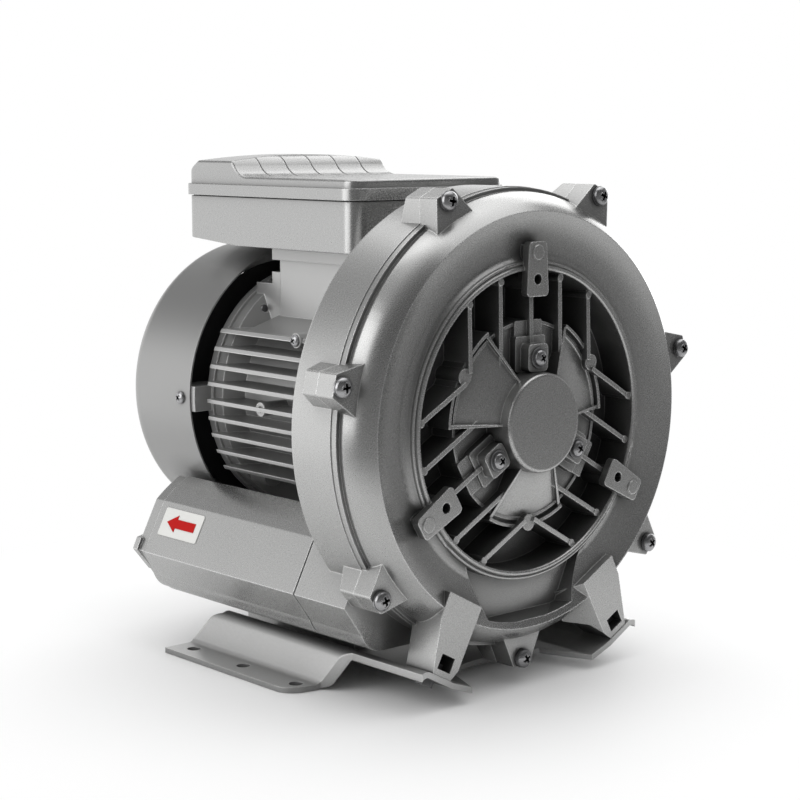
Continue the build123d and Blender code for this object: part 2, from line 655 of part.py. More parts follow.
def cooling_fan():
    """Straight-vaned plastic fan, which blows the same way in either direction of rotation."""
    hub = ring(FAN_SEAT_R + 7.5, FAN_SEAT_R, FAN_HUB_FRONT, FAN_HUB_REAR)
    disc = turned(outline((FAN_SEAT_R + 2, FAN_HUB_FRONT + 6.0), (FAN_R, FAN_HUB_FRONT + 4.0),
                          (FAN_R, FAN_HUB_FRONT + 6.2), (FAN_SEAT_R + 2, FAN_HUB_FRONT + 8.5)))
    side = Polygon((FAN_SEAT_R + 4, FAN_HUB_FRONT + 6.5), (FAN_R - 1.0, FAN_HUB_FRONT + 5.0),
                   (FAN_R - 1.0, FAN_REAR - 6.0), (FAN_R - 8.0, FAN_REAR), (FAN_R / 2, FAN_REAR),
                   (FAN_SEAT_R + 4, FAN_HUB_REAR - 3.0), align=None)
    blade = Pos(0, 0, -1.0) * extrude(side, 2.0)
    step = 360.0 / FAN_BLADES
    return hub + disc + [around(blade, (k + 0.25) * step) for k in range(FAN_BLADES)]


def fan_circlip():
    clip = ring(FAN_SEAT_R + 2.0, FAN_SEAT_R - 0.6, FAN_HUB_REAR, FAN_HUB_REAR + CIRCLIP)
    return clip - block(-1.5, 1.5, FAN_HUB_REAR - 1, FAN_HUB_REAR + 2 * CIRCLIP, 0, 12)


# Motor: finned barrel, end shield, cowl and stator

BOSS_Y = 135.0
BOSS_Z = -1.0
BOSS_X = 90.0
EARTH_Y = 108.0
EARTH_X = 82.0
SHIELD_BOLTS = [polar(77.0, angle) for angle in (50, 130, 225, 315)]
COWL_LUG_ANGLES = [0.0, 90.0, 180.0, 270.0]
COWL_SCREW_Y = 209.0
SHIELD_PLATE = 6.0


def motor_barrel():
    rear_flange = 5.0
    return turned(outline(
        (BARREL_BORE_R, DRUM_LENGTH), (MOTOR_FLANGE_R, DRUM_LENGTH),
        (MOTOR_FLANGE_R, DRUM_LENGTH + MOTOR_FLANGE), (BARREL_R + 6.0, DRUM_LENGTH + MOTOR_FLANGE),
        (BARREL_R, DRUM_LENGTH + MOTOR_FLANGE + 8.0), (BARREL_R, MOTOR_REAR - 16.0),
        (END_FLANGE_R - 2.0, MOTOR_REAR - rear_flange - 3.0), (END_FLANGE_R - 2.0, MOTOR_REAR),
        (BARREL_BORE_R, MOTOR_REAR)))


def motor_fins():
    fins = None
    for k in range(FIN_COUNT):
        z = FIN_FIRST_Z + k * FIN_PITCH
        slab = block(-FIN_R, FIN_R, DRUM_LENGTH + MOTOR_FLANGE - 1, MOTOR_REAR - 3.0,
                     z - FIN_THICK / 2, z + FIN_THICK / 2)
        fins = slab if fins is None else fins + slab
    return fins & rod(FIN_R, DRUM_LENGTH, MOTOR_REAR)


def pedestal_shoulder():
    """Lifting block behind the left side of the pedestal and the slope down to the first fin."""
    side = -PEDESTAL_HALF_X + 1.0
    tip = -sqrt(FIN_R ** 2 - FIN_TOP_Z ** 2) + 2.0
    start, end, top = PEDESTAL_REAR - 4.0, PEDESTAL_REAR + 10.0, SHOULDER_TOP_Z
    shoulder = block(side, side + 18.0, start, MOTOR_REAR, 40.0, top)
    shoulder += block(side, side + 12.0, start, end, 50.0, top + SHOULDER_STEP)
    slope = Polygon((tip, FIN_TOP_Z), (side + 1.0, FIN_TOP_Z + 10.0), (side + 1.0, FIN_TOP_Z), align=None)
    return shoulder + prism(slope, DRUM_LENGTH + MOTOR_FLANGE - 1.0, MOTOR_REAR - 24.0)


def motor_housing():
    body = motor_barrel() + motor_fins()
    plate_top = BOX_BOTTOM - GASKET
    plate_low = plate_top - PEDESTAL_PLATE
    margin = 3.75
    body += block(-PEDESTAL_HALF_X, PEDESTAL_HALF_X, PEDESTAL_FRONT, PEDESTAL_REAR, 40.0, plate_low)
    body += block(-PEDESTAL_HALF_X - margin, PEDESTAL_HALF_X + margin, PEDESTAL_FRONT - margin,
                  PEDESTAL_REAR + margin, plate_low, plate_top)
    for side in (-1, 1):
        body += mirrored(pedestal_shoulder()) if side > 0 else pedestal_shoulder()
    for x, z in SHIELD_BOLTS[2:]:
        body += rod(8.0, MOTOR_REAR - 24.0, MOTOR_REAR, x * 0.97, z * 0.97)
    body += Pos(-BOSS_X / 2, BOSS_Y, BOSS_Z) * Rot(0, 90, 0) * Cylinder(4.6, BOSS_X)
    body += Pos(-EARTH_X / 2, EARTH_Y, FIN_TOP_Z) * Rot(0, 90, 0) * Cylinder(4.8, EARTH_X)
    body -= rod(BARREL_BORE_R, DRUM_LENGTH - 1, MOTOR_REAR + 1)
    body -= Pos(0, (PEDESTAL_FRONT + PEDESTAL_REAR) / 2, plate_top / 2 + 30) * Cylinder(14.0, 80.0)
    body -= Pos(-BOSS_X, BOSS_Y, BOSS_Z) * Rot(0, 90, 0) * Cylinder(2.0, 1.6)
    body -= Pos(-EARTH_X, EARTH_Y, FIN_TOP_Z) * Rot(0, 90, 0) * Cylinder(M4_R, 20.0)
    for x, z in MOTOR_BOLTS:
        body -= rod(M6_R + HOLE_PLAY, DRUM_LENGTH - 1, DRUM_LENGTH + MOTOR_FLANGE + 1, x, z)
    for x, z in SHIELD_BOLTS:
        body -= rod(M5_R, MOTOR_REAR - 14.0, MOTOR_REAR + 1, x, z)
    for x, y in BOX_SCREW_PLACES:
        body -= Pos(x, y, plate_top - 6.0) * Cylinder(M4_R, 13.0)
    return body


FIN_TOP_Z = FIN_FIRST_Z + (FIN_COUNT - 1) * FIN_PITCH
SHOULDER_TOP_Z = 76.0
SHOULDER_STEP = 8.0
BOX_SCREW_PLACES = [(x, y) for x in (-40.0, 40.0) for y in (PEDESTAL_FRONT + 8, PEDESTAL_REAR - 8)]


def motor_bolts():
    bolt = Rot(0, 0, 180) * hex_bolt(M6_R, MOTOR_FLANGE + 5.5, 10.0, 4.0)
    return group([Pos(x, DRUM_LENGTH + MOTOR_FLANGE, z) * bolt for x, z in MOTOR_BOLTS])


def earth_screw():
    screw = Rot(0, 0, -90) * pan_screw(M4_R, 9.0, 3.9, 2.8)
    return Pos(-EARTH_X, EARTH_Y, FIN_TOP_Z) * screw


def rear_end_shield():
    hub_r = REAR_BEARING_R + 7.0
    plate = MOTOR_REAR + SHIELD_PLATE
    back = REAR_BEARING_END + SPRING + 3.0
    shield = turned(outline(
        (REAR_BEARING_R, MOTOR_REAR - 1.0), (hub_r, MOTOR_REAR - 1.0), (hub_r + 3.0, MOTOR_REAR + 1.5),
        (BARREL_BORE_R - 6.0, MOTOR_REAR + 1.5), (BARREL_BORE_R - 4.0, MOTOR_REAR - 4.0),
        (BARREL_BORE_R, MOTOR_REAR - 4.0), (BARREL_BORE_R, MOTOR_REAR), (END_FLANGE_R, MOTOR_REAR),
        (END_FLANGE_R, plate), (hub_r + 4.0, plate), (hub_r, back), (FAN_SEAT_R + 1.5, back),
        (FAN_SEAT_R + 1.5, REAR_BEARING_END + SPRING), (REAR_BEARING_R, REAR_BEARING_END + SPRING)))
    inside = COWL_R - COWL_SHEET
    lug = block(END_FLANGE_R - 14.0, inside + 2, MOTOR_REAR + 2.0, COWL_SCREW_Y + 6.0, -8.5, 8.5)
    lug = lug & rod(inside, MOTOR_REAR, COWL_SCREW_Y + 10)
    for angle in COWL_LUG_ANGLES:
        shield += around(lug, angle)
        hole = Pos(inside - 5.0, COWL_SCREW_Y, 0) * Rot(0, 90, 0) * Cylinder(M4_R, 12.0)
        shield -= around(hole, angle)
    for x, z in SHIELD_BOLTS:
        shield -= rod(M5_R + HOLE_PLAY, MOTOR_REAR - 1, plate + 1, x, z)
    return shield


def end_shield_bolts():
    bolt = Rot(0, 0, 180) * hex_bolt(M5_R, SHIELD_PLATE + 12.0, 8.0, 3.5)
    return group([Pos(x, MOTOR_REAR + SHIELD_PLATE, z) * bolt for x, z in SHIELD_BOLTS])


def wave_spring():
    wave = ring(REAR_BEARING_R - 0.4, REAR_BEARING_R - 3.6, REAR_BEARING_END, REAR_BEARING_END + SPRING)
    return wave


def fan_cowl():
    """Drawn steel cap with its air inlet grille on the back."""
    r, t, c = COWL_R, COWL_SHEET, COWL_CORNER
    k = c * (1 - cos(radians(45)))
    kt = (c - t) * (1 - cos(radians(45)))
    cap = turned(outline(
        (r - t, COWL_FRONT), (r, COWL_FRONT), (r, COWL_REAR - c),
        ((r - k, COWL_REAR - k), (r - c, COWL_REAR)), (0, COWL_REAR), (0, COWL_REAR - t),
        (r - c, COWL_REAR - t), ((r - t - kt, COWL_REAR - t - kt), (r - t, COWL_REAR - c))))
    slots = []
    for count, r0, r1, width in ((12, 20.0, 44.0, 3.6), (30, 50.0, 76.0, 3.6)):
        for k in range(count):
            slot = block(r0, r1, COWL_REAR - 3 * t, COWL_REAR + 1, -width / 2, width / 2)
            slots.append(around(slot, (k + 0.5) * 360.0 / count))
    cap -= slots
    for angle in COWL_LUG_ANGLES:
        hole = Pos(r, COWL_SCREW_Y, 0) * Rot(0, 90, 0) * Cylinder(M4_R + HOLE_PLAY, 8.0)
        cap -= around(hole, angle)
    return cap


def cowl_screws():
    screw = Pos(COWL_R, COWL_SCREW_Y, 0) * Rot(0, 0, 90) * pan_screw(M4_R, 9.0, 4.2, 2.8)
    return group([around(screw, angle) for angle in COWL_LUG_ANGLES])


def stator_core():
    core = ring(BARREL_BORE_R, STATOR_BORE_R, STATOR_FRONT, STATOR_FRONT + STATOR_LENGTH)
    slots = []
    for k in range(24):
        slot = block(STATOR_BORE_R + 2.5, 50.0, STATOR_FRONT - 1, STATOR_FRONT + STATOR_LENGTH + 1,
                     -2.0, 2.0)
        slots.append(around(slot, k * 15.0))
    return core - slots


def stator_windings():
    rear = STATOR_FRONT + STATOR_LENGTH
    coils = []
    for y0, y1 in ((STATOR_FRONT, STATOR_FRONT - 15.0), (rear, rear + 15.0)):
        bow = (y0 + 3 * y1) / 4
        coils.append(turned(outline((40.0, y0), (52.0, y0), (55.5, (y0 + y1) / 2), (54.0, bow),
                                    ((48.0, y1), (42.0, bow)), (39.5, (y0 + y1) / 2))))
    return group(coils)


# Terminal box on the pedestal

LID_CREST_Y = 203.0
LID_FOOT_Y = 175.0
GLAND_Y = 112.0
PLUG_Y = 150.0
GLAND_Z = 117.0
GLAND_R = 10.0


def box_outline(grow=0.0):
    width = 2 * (BOX_HALF_X + grow)
    length = BOX_REAR - BOX_FRONT + 2 * grow
    return Pos(0, (BOX_FRONT + BOX_REAR) / 2) * RectangleRounded(width, length, BOX_CORNER + grow)


def terminal_box():
    rim = BOX_SEAM - LID_GASKET
    shell = Pos(0, 0, BOX_BOTTOM) * extrude(box_outline(), rim - BOX_BOTTOM)
    rise = Polygon((BOX_REAR - 56.0, BOX_BOTTOM - 1), (BOX_REAR + 1, BOX_BOTTOM - 1),
                   (BOX_REAR + 1, BOX_BOTTOM + 4.5), (BOX_REAR - 56.0, BOX_BOTTOM), align=None)
    shell -= Pos(-BOX_HALF_X - 2, 0, 0) * extrude(Plane.YZ * rise, 2 * BOX_HALF_X + 4)
    cavity = Pos(0, 0, BOX_BOTTOM + 8.0) * extrude(box_outline(-BOX_WALL), 40.0)
    cavity += Pos(0, 0, BOX_BOTTOM + BOX_WALL) * extrude(box_outline(-BOX_WALL), 40.0) & block(
        -BOX_HALF_X, BOX_HALF_X, BOX_FRONT, BOX_REAR - 58.0, BOX_BOTTOM, rim + 1)
    shell -= cavity
    shell -= Pos(0, (PEDESTAL_FRONT + PEDESTAL_REAR) / 2, BOX_BOTTOM) * Cylinder(14.0, 20.0)
    for x, y in BOX_SCREW_PLACES:
        shell -= Pos(x, y, BOX_BOTTOM) * Cylinder(M4_R + HOLE_PLAY, 20.0)
    for y in (GLAND_Y, PLUG_Y):
        shell -= Pos(BOX_HALF_X, y, GLAND_Z) * Rot(0, 90, 0) * Cylinder(GLAND_R, 20.0)
    for x in LID_SCREW_X:
        post = block(x - 5.0, x + 5.0, BOX_REAR - 10.0, BOX_REAR - BOX_WALL + 0.5, BOX_BOTTOM + 8.0, rim)
        shell += post
        shell -= Pos(x, BOX_REAR, LID_SCREW_Z) * Rot(90, 0, 0) * Cylinder(M4_R, 22.0)
    return shell


LID_SCREW_X = [-40.0, 40.0]
LID_SCREW_Z = 128.0


def box_gasket():
    margin = 3.0
    plate = block(-PEDESTAL_HALF_X, PEDESTAL_HALF_X, PEDESTAL_FRONT, PEDESTAL_REAR, BOX_BOTTOM - GASKET,
                  BOX_BOTTOM)
    plate -= Pos(0, (PEDESTAL_FRONT + PEDESTAL_REAR) / 2, BOX_BOTTOM) * Cylinder(14.0 + margin, 10.0)
    for x, y in BOX_SCREW_PLACES:
        plate -= Pos(x, y, BOX_BOTTOM) * Cylinder(M4_R + HOLE_PLAY, 10.0)
    return plate


def box_screws():
    screw = Rot(-90, 0, 0) * pan_screw(M4_R, BOX_WALL + GASKET + 9.0, 4.0, 2.8)
    return group([Pos(x, y, BOX_BOTTOM + BOX_WALL) * screw for x, y in BOX_SCREW_PLACES])


def lid_gasket():
    frame = box_outline(-1.5) - box_outline(-BOX_WALL)
    return Pos(0, 0, BOX_SEAM - LID_GASKET) * extrude(frame, LID_GASKET)


def lid_profile(drop=0.0):
    """Side view of the lid in (y, z): low shelf in front, S-shaped rise, plateau, sloping back."""
    shelf, top = LID_SHELF - drop, LID_TOP - drop
    mid_y, mid_z = (LID_FOOT_Y + LID_CREST_Y) / 2 + 2.0, (shelf + top) / 2
    edges = [Polyline((BOX_REAR, BOX_SEAM), (BOX_FRONT, BOX_SEAM), (BOX_FRONT, shelf),
                      (LID_FOOT_Y, shelf)),
             ThreePointArc((LID_FOOT_Y, shelf), (LID_FOOT_Y + 9.0, shelf + 1.6), (mid_y, mid_z)),
             ThreePointArc((mid_y, mid_z), (LID_CREST_Y - 5.0, top - 1.1), (LID_CREST_Y, top)),
             Polyline((LID_CREST_Y, top), (BOX_REAR - 20.0, top), (BOX_REAR, shelf + 1.5),
                      (BOX_REAR, BOX_SEAM))]
    return make_face(edges)


def lid_solid(grow, drop):
    side = extrude(Plane.YZ * lid_profile(drop), BOX_HALF_X + grow, both=True)
    crown_z = LID_TOP - drop
    half = BOX_HALF_X + 4.0
    crown = make_face([Polyline((half, crown_z - 4.5), (half, BOX_SEAM - 1), (-half, BOX_SEAM - 1),
                                (-half, crown_z - 4.5)),
                       ThreePointArc((-half, crown_z - 4.5), (0, crown_z), (half, crown_z - 4.5))])
    plan = Pos(0, 0, BOX_SEAM) * extrude(box_outline(grow), 40.0)
    return side & prism(crown, BOX_FRONT - 5, BOX_REAR + 5) & plan


def lid_crease(x):
    width, depth = 1.3, 0.8
    side = extrude(Plane.YZ * lid_profile(depth), 100.0, both=True)
    lane = block(x - width / 2, x + width / 2, LID_FOOT_Y - 4.0, LID_CREST_Y + 12.0, LID_SHELF - 0.1,
                 LID_TOP + 1)
    return lane - side


def terminal_lid():
    lid = lid_solid(0.0, 0.0)
    top_edges = lid.edges().filter_by(lambda e: e.center().Z > LID_SHELF - 0.2)
    lid = fillet(top_edges, 2.0)
    band = Pos(0, 0, BOX_SEAM) * extrude(box_outline(LID_OVERHANG), LID_BAND)
    lid += band
    lid -= lid_solid(-BOX_WALL, BOX_WALL)
    lid -= Pos(0, 0, BOX_SEAM - 1) * extrude(box_outline(-BOX_WALL), 2.0)
    span = 2 * BOX_HALF_X / (LID_CREASES + 1)
    for k in range(LID_CREASES):
        lid -= lid_crease(-BOX_HALF_X + (k + 1) * span)
    for x in LID_SCREW_X:
        ear_plate = block(x - 7.0, x + 7.0, BOX_REAR, BOX_REAR + 2.6, LID_SCREW_Z - 7.0, BOX_SEAM + 1.0)
        lid += ear_plate
        lid -= Pos(x, BOX_REAR + 2, LID_SCREW_Z) * Rot(90, 0, 0) * Cylinder(M4_R + HOLE_PLAY, 10.0)
    return lid


def lid_screws():
    screw = Rot(0, 0, 180) * pan_screw(M4_R, 10.0, 4.0, 2.8)
    return group([Pos(x, BOX_REAR + 2.6, LID_SCREW_Z) * screw for x in LID_SCREW_X])


TERMINAL_Y = 205.0
TERMINAL_FLOOR = BOX_BOTTOM + 8.0


def terminal_block():
    base = block(-32.0, 32.0, TERMINAL_Y - 14.0, TERMINAL_Y + 14.0, TERMINAL_FLOOR, TERMINAL_FLOOR + 9.0)
    for x in (-10.7, 10.7):
        base += block(x - 1.0, x + 1.0, TERMINAL_Y - 14.0, TERMINAL_Y + 14.0, TERMINAL_FLOOR + 8.0,
                      TERMINAL_FLOOR + 15.0)
    for x, y in STUD_PLACES:
        base -= Pos(x, y, TERMINAL_FLOOR + 6.0) * Cylinder(M4_R, 6.1)
    return base


STUD_PLACES = [(x, TERMINAL_Y + dy) for x in (-21.3, 0.0, 21.3) for dy in (-7.0, 7.0)]


def terminal_studs():
    studs = []
    for x, y in STUD_PLACES:
        stud = Pos(x, y, TERMINAL_FLOOR + 3.0 + 8.0) * Cylinder(M4_R, 16.0)
        stud += Pos(x, y, TERMINAL_FLOOR + 9.0) * extrude(RegularPolygon(3.5, 6, major_radius=False), 3.2)
        studs.append(stud)
    return group(studs)


def gland_body():
    """Cable gland, closed by its seal insert because no cable is fitted."""
    outside = BOX_HALF_X
    hex_part = Plane.YZ.offset(outside) * RegularPolygon(12.0, 6, major_radius=False)
    gland = extrude(hex_part, 6.0)
    dome = outline((0, 0), (11.6, 0), (11.6, 9.0), ((10.6, 13.0), (7.0, 15.0)), (0, 15.0))
    gland += Pos(outside + 6.0, 0, 0) * Rot(0, 0, -90) * turned(dome)
    gland += Pos(outside - 5.0, 0, 0) * Rot(0, 90, 0) * Cylinder(GLAND_R, 10.2)
    gland -= Pos(outside + 21.0, 0, 0) * Rot(0, 90, 0) * Cylinder(5.0, 12.0)
    return Pos(0, GLAND_Y, GLAND_Z) * gland


def blanking_plug():
    head = extrude(Plane.YZ.offset(BOX_HALF_X) * RegularPolygon(12.0, 6, major_radius=False), 5.0)
    head += Pos(BOX_HALF_X - 5.0, 0, 0) * Rot(0, 90, 0) * Cylinder(GLAND_R, 10.2)
    return Pos(0, PLUG_Y, GLAND_Z) * head


def gland_nuts():
    nut = RegularPolygon(12.0, 6, major_radius=False) - Circle(GLAND_R)
    solid = extrude(Plane.YZ.offset(BOX_HALF_X - BOX_WALL - 4.5) * nut, 4.5)
    return group([Pos(0, y, GLAND_Z) * solid for y in (GLAND_Y, PLUG_Y)])


# Silencers, their end caps and linings

def silencer_left():
    body = prism(silencer_section(), SILENCER_FRONT, SILENCER_REAR)
    hollow = prism(silencer_section(SILENCER_WALL), SILENCER_FRONT + 4.0, SILENCER_REAR + 1)
    body -= hollow
    body -= rod(PORT_BORE_R, SILENCER_FRONT - 1, SILENCER_FRONT + 6, -PORT_X, PORT_Z)
    for dx, dz in TIE_PLACES:
        post = rod(5.0, SILENCER_FRONT + 1.0, SILENCER_REAR, -PORT_X + dx, PORT_Z + dz)
        body += post & prism(silencer_section(1.0), SILENCER_FRONT, SILENCER_REAR)
        body -= rod(M5_R + HOLE_PLAY, SILENCER_FRONT - 1, SILENCER_REAR + 1, -PORT_X + dx, PORT_Z + dz)
    trough = FOOT_TROUGH_TOP - SHAFT_HEIGHT
    body += block(-FOOT_BOSS_X - FOOT_BOSS_R, -FOOT_BOSS_X + FOOT_BOSS_R, *FOOT_RAIL_Y, trough,
                  SILENCER_BOTTOM + SILENCER_WALL)
    for y in FOOT_BOSS_Y:
        body -= Pos(-FOOT_BOSS_X, y, trough + 6.0) * Cylinder(M6_R, 14.0)
    return body


FOOT_BOSS_X = 46.5
FOOT_BOSS_R = 5.8
FOOT_BOSS_Y = [100.0, 152.0]
FOOT_RAIL_Y = (86.0, 200.0)


def end_cap_left():
    plate = prism(silencer_section(0.6), SILENCER_REAR, SILENCER_REAR + END_CAP)
    rear_edges = plate.faces().sort_by(Axis.Y)[-1].edges()
    plate = chamfer(rear_edges, 2.5)
    corners = [(-1.0, 0.5), (2.5, 8.0), (20.5, 12.0), (23.5, -14.0), (11.5, -15.0)]
    nub = prism(Pos(*CREASE) * Polygon(*corners, align=None), SILENCER_REAR + END_CAP - 5.0,
                SILENCER_REAR + END_CAP)
    plate += nub
    back = SILENCER_REAR + END_CAP
    plate += rod(PORT_THREAD_R + 3.5, back - 1, back + 3.0, -PORT_X, PORT_Z)
    plate -= rod(PORT_THREAD_R, SILENCER_REAR - 1, back + 4, -PORT_X, PORT_Z)
    for dx, dz in TIE_PLACES:
        plate -= rod(M5_R + HOLE_PLAY, SILENCER_REAR - 1, SILENCER_REAR + END_CAP + 1,
                     -PORT_X + dx, PORT_Z + dz)
    return plate


def lining_left():
    """Sound absorber round the air passage."""
    foam = prism(silencer_section(SILENCER_WALL + 0.3), SILENCER_FRONT + 5.0, SILENCER_REAR - 1.0)
    foam -= rod(PORT_BORE_R, SILENCER_FRONT, SILENCER_REAR, -PORT_X, PORT_Z)
    for dx, dz in TIE_PLACES:
        foam -= rod(5.8, SILENCER_FRONT, SILENCER_REAR, -PORT_X + dx, PORT_Z + dz)
    return foam.solids().sort_by(SortBy.VOLUME)[-1]


def tie_screws():
    seat = SILENCER_REAR + END_CAP
    screw = Rot(0, 0, 180) * pan_screw(M5_R, seat - SILENCER_FRONT + 13.0, 4.4, 3.2)
    screws = []
    for side in (-1, 1):
        for dx, dz in TIE_PLACES:
            screws.append(Pos(side * (PORT_X - dx), seat, PORT_Z + dz) * screw)
    return group(screws)


LABEL_LENGTH = 43.0
LABEL_HEIGHT = 19.5
LABEL_THICK = 0.4
LABEL_CENTRE_Y = 191.5
LABEL_RISE = 5.0


def label_plane(lift):
    """Plane on the upper outer face of the left silencer, its x axis pointing rearwards."""
    low, high = CREASE, FLANK_TOP
    length = hypot(high[0] - low[0], high[1] - low[1])
    normal = (-(high[1] - low[1]) / length, 0.0, (high[0] - low[0]) / length)
    share = 0.5 + LABEL_RISE / length
    centre = (low[0] + (high[0] - low[0]) * share + normal[0] * lift, LABEL_CENTRE_Y,
              low[1] + (high[1] - low[1]) * share + normal[2] * lift)
    return Plane(origin=centre, x_dir=(0, 1, 0), z_dir=normal)


def flow_label():
    return extrude(label_plane(0.0) * RectangleRounded(LABEL_LENGTH, LABEL_HEIGHT, 1.5), LABEL_THICK)


def flow_arrow():
    half, head, wing, shaft_half = 15.5, 10.5, 6.0, 3.1
    arrow = Polygon((half, 0), (half - head, wing), (half - head, shaft_half), (-half, shaft_half),
                    (-half, -shaft_half), (half - head, -shaft_half), (half - head, -wing), align=None)
    return extrude(label_plane(LABEL_THICK) * arrow, 0.3)


# Foot, bent from one sheet

def foot_section():
    """Front view of the bent sheet in (x, z) above the floor, right half."""
    half = FOOT_SHEET / 2
    crest_top = FOOT_KINK_TOP + (FOOT_CREST_X - FOOT_KINK_X) * tan(radians(LUG_ANGLE))
    middle = FilletPolyline((0, FOOT_TROUGH_TOP - half), (FOOT_TROUGH_X, FOOT_TROUGH_TOP - half),
                            (FOOT_KINK_X, FOOT_KINK_TOP - half), (FOOT_CREST_X, crest_top - half),
                            (FOOT_CREST_X + 8.0, half), (FOOT_HALF_WIDTH, half),
                            radius=FOOT_BEND_R)
    return trace(middle, FOOT_SHEET)


def foot_plan():
    """Plan of the sheet: two tongues under the cover's lugs, side flanges further back."""
    corner = 15.0
    right = [(40.0, 8.0), (FOOT_TROUGH_X, FOOT_FRONT_Y), (FOOT_CREST_X, FOOT_FRONT_Y),
             (FOOT_CREST_X, 38.0), (FOOT_CREST_X + 9.0, 58.0), (FOOT_HALF_WIDTH - corner, 60.0)]
    arc = ((FOOT_HALF_WIDTH - corner * 0.29, 60.0 + corner * 0.29), (FOOT_HALF_WIDTH, 60.0 + corner))
    rear = [(FOOT_HALF_WIDTH, FOOT_REAR_Y), (FOOT_CREST_X + 9.0, FOOT_REAR_Y),
            (FOOT_CREST_X, FOOT_REAR_Y - 22.0), (0, FOOT_REAR_Y - 22.0)]
    edges = [ThreePointArc((0, 16.0), (26.0, 13.5), right[0]), Polyline(*right),
             ThreePointArc(right[-1], *arc), Polyline(arc[1], *rear), Line(rear[-1], (0, 16.0))]
    return make_face(edges)


def foot_plate():
    half = prism(foot_section(), FOOT_FRONT_Y - 1, FOOT_REAR_Y + 1)
    half = half & Pos(0, 0, -1) * extrude(foot_plan(), 60.0)
    foot = half + mirrored(half)
    for side in (-1, 1):
        for k in range(3):
            y = FOOT_FIRST_HOLE_Y + k * FOOT_HOLE_PITCH
            foot -= Pos(side * FOOT_HOLE_SPAN / 2, y, 0) * Cylinder(FOOT_HOLE_R, 20.0)
        for y in FOOT_BOSS_Y:
            foot -= Pos(side * FOOT_BOSS_X, y, FOOT_TROUGH_TOP) * Cylinder(M6_R + HOLE_PLAY, 20.0)
    foot = Pos(0, 0, -SHAFT_HEIGHT) * foot
    for angle in (-90 - LUG_ANGLE, -90 + LUG_ANGLE):
        hole = Pos(LUG_SEAT_R, LUG_BOLT_Y, 0) * Rot(0, 90, 0) * Cylinder(M6_R + HOLE_PLAY, 20.0)
        foot -= around(hole, angle)
    return foot


def foot_bolts():
    bolts = []
    rear = Rot(-90, 0, 0) * Rot(0, 0, 180) * hex_bolt(M6_R, FOOT_SHEET + 12.0, 10.0, 4.0)
    low = FOOT_TROUGH_TOP - FOOT_SHEET - SHAFT_HEIGHT
    for side in (-1, 1):
        for y in FOOT_BOSS_Y:
            bolts.append(Pos(side * FOOT_BOSS_X, y, low) * rear)
    front = Rot(0, 0, 90) * hex_bolt(M6_R, FOOT_SHEET + LUG_NUT_DEPTH + 6.0, 10.0, 4.0)
    for angle in (-90 - LUG_ANGLE, -90 + LUG_ANGLE):
        bolts.append(around(Pos(LUG_SEAT_R + FOOT_SHEET, LUG_BOLT_Y, 0) * front, angle))
    return group(bolts)


def foot_nuts():
    nut = Pos(LUG_SEAT_R - LUG_NUT_DEPTH, LUG_BOLT_Y, 0) * Box(NUT_THICK, NUT_SIDE, NUT_SIDE)
    nut -= Pos(LUG_SEAT_R, LUG_BOLT_Y, 0) * Rot(0, 90, 0) * Cylinder(M6_R, 60.0)
    return group([around(nut, angle) for angle in (-90 - LUG_ANGLE, -90 + LUG_ANGLE)])


def subparts():
    front = bearing(SEAT_BOTTOM, BEARING_WIDTH, JOURNAL_R, BEARING_R, BALL_R)
    rear = bearing(SHIELD_SEAT, REAR_BEARING_WIDTH, REAR_JOURNAL_R, REAR_BEARING_R, REAR_BALL_R)
    return {
        "front_cover": front_cover(),
        "rear_housing": rear_housing(),
        "cover_screws": cover_screws(),
        "cover_washers": cover_washers(),
        "hub_screws": hub_screws(),
        "hub_washers": hub_washers(),
        "bearing_retainer": bearing_retainer(),
        "shaft_seal": shaft_seal(),
        "impeller": impeller(),
        "impeller_key": impeller_key(),
        "shaft": shaft(),
        "shaft_spacer": shaft_spacer(),
        "front_bearing_outer_ring": front[0],
        "front_bearing_inner_ring": front[1],
        "front_bearing_balls": front[2],
        "front_bearing_cage": front[3],
        "rear_bearing_outer_ring": rear[0],
        "rear_bearing_inner_ring": rear[1],
        "rear_bearing_balls": rear[2],
        "rear_bearing_cage": rear[3],
        "rotor_core": rotor_core(),
        "rotor_end_rings": rotor_end_rings(),
        "stator_core": stator_core(),
        "stator_windings": stator_windings(),
        "motor_housing": motor_housing(),
        "motor_bolts": motor_bolts(),
        "earth_screw": earth_screw(),
        "rear_end_shield": rear_end_shield(),
        "end_shield_bolts": end_shield_bolts(),
        "wave_spring": wave_spring(),
        "cooling_fan": cooling_fan(),
        "fan_circlip": fan_circlip(),
        "fan_cowl": fan_cowl(),
        "cowl_screws": cowl_screws(),
        "terminal_box": terminal_box(),
        "box_gasket": box_gasket(),
        "box_screws": box_screws(),
        "terminal_lid": terminal_lid(),
        "lid_gasket": lid_gasket(),
        "lid_screws": lid_screws(),
        "terminal_block": terminal_block(),
        "terminal_studs": terminal_studs(),
        "cable_gland": gland_body(),
        "blanking_plug": blanking_plug(),
        "gland_nuts": gland_nuts(),
        "outlet_silencer": silencer_left(),
        "inlet_silencer": mirrored(silencer_left()),
        "outlet_end_cap": end_cap_left(),
        "inlet_end_cap": mirrored(end_cap_left()),
        "outlet_lining": lining_left(),
        "inlet_lining": mirrored(lining_left()),
        "silencer_tie_screws": tie_screws(),
        "flow_label": flow_label(),
        "flow_arrow": flow_arrow(),
        "foot_plate": foot_plate(),
        "foot_bolts": foot_bolts(),
        "foot_nuts": foot_nuts(),
    }


os.makedirs("parts", exist_ok=True)
lift = Pos(0, -FOOT_CENTRE_Y, SHAFT_HEIGHT)
for name, shape in subparts().items():
    export_step(lift * shape, "parts/" + name + ".step")
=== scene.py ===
"""Looks of a side channel blower: cast and sheet metal finishes, screws, port threads and the studio."""
import json
import math

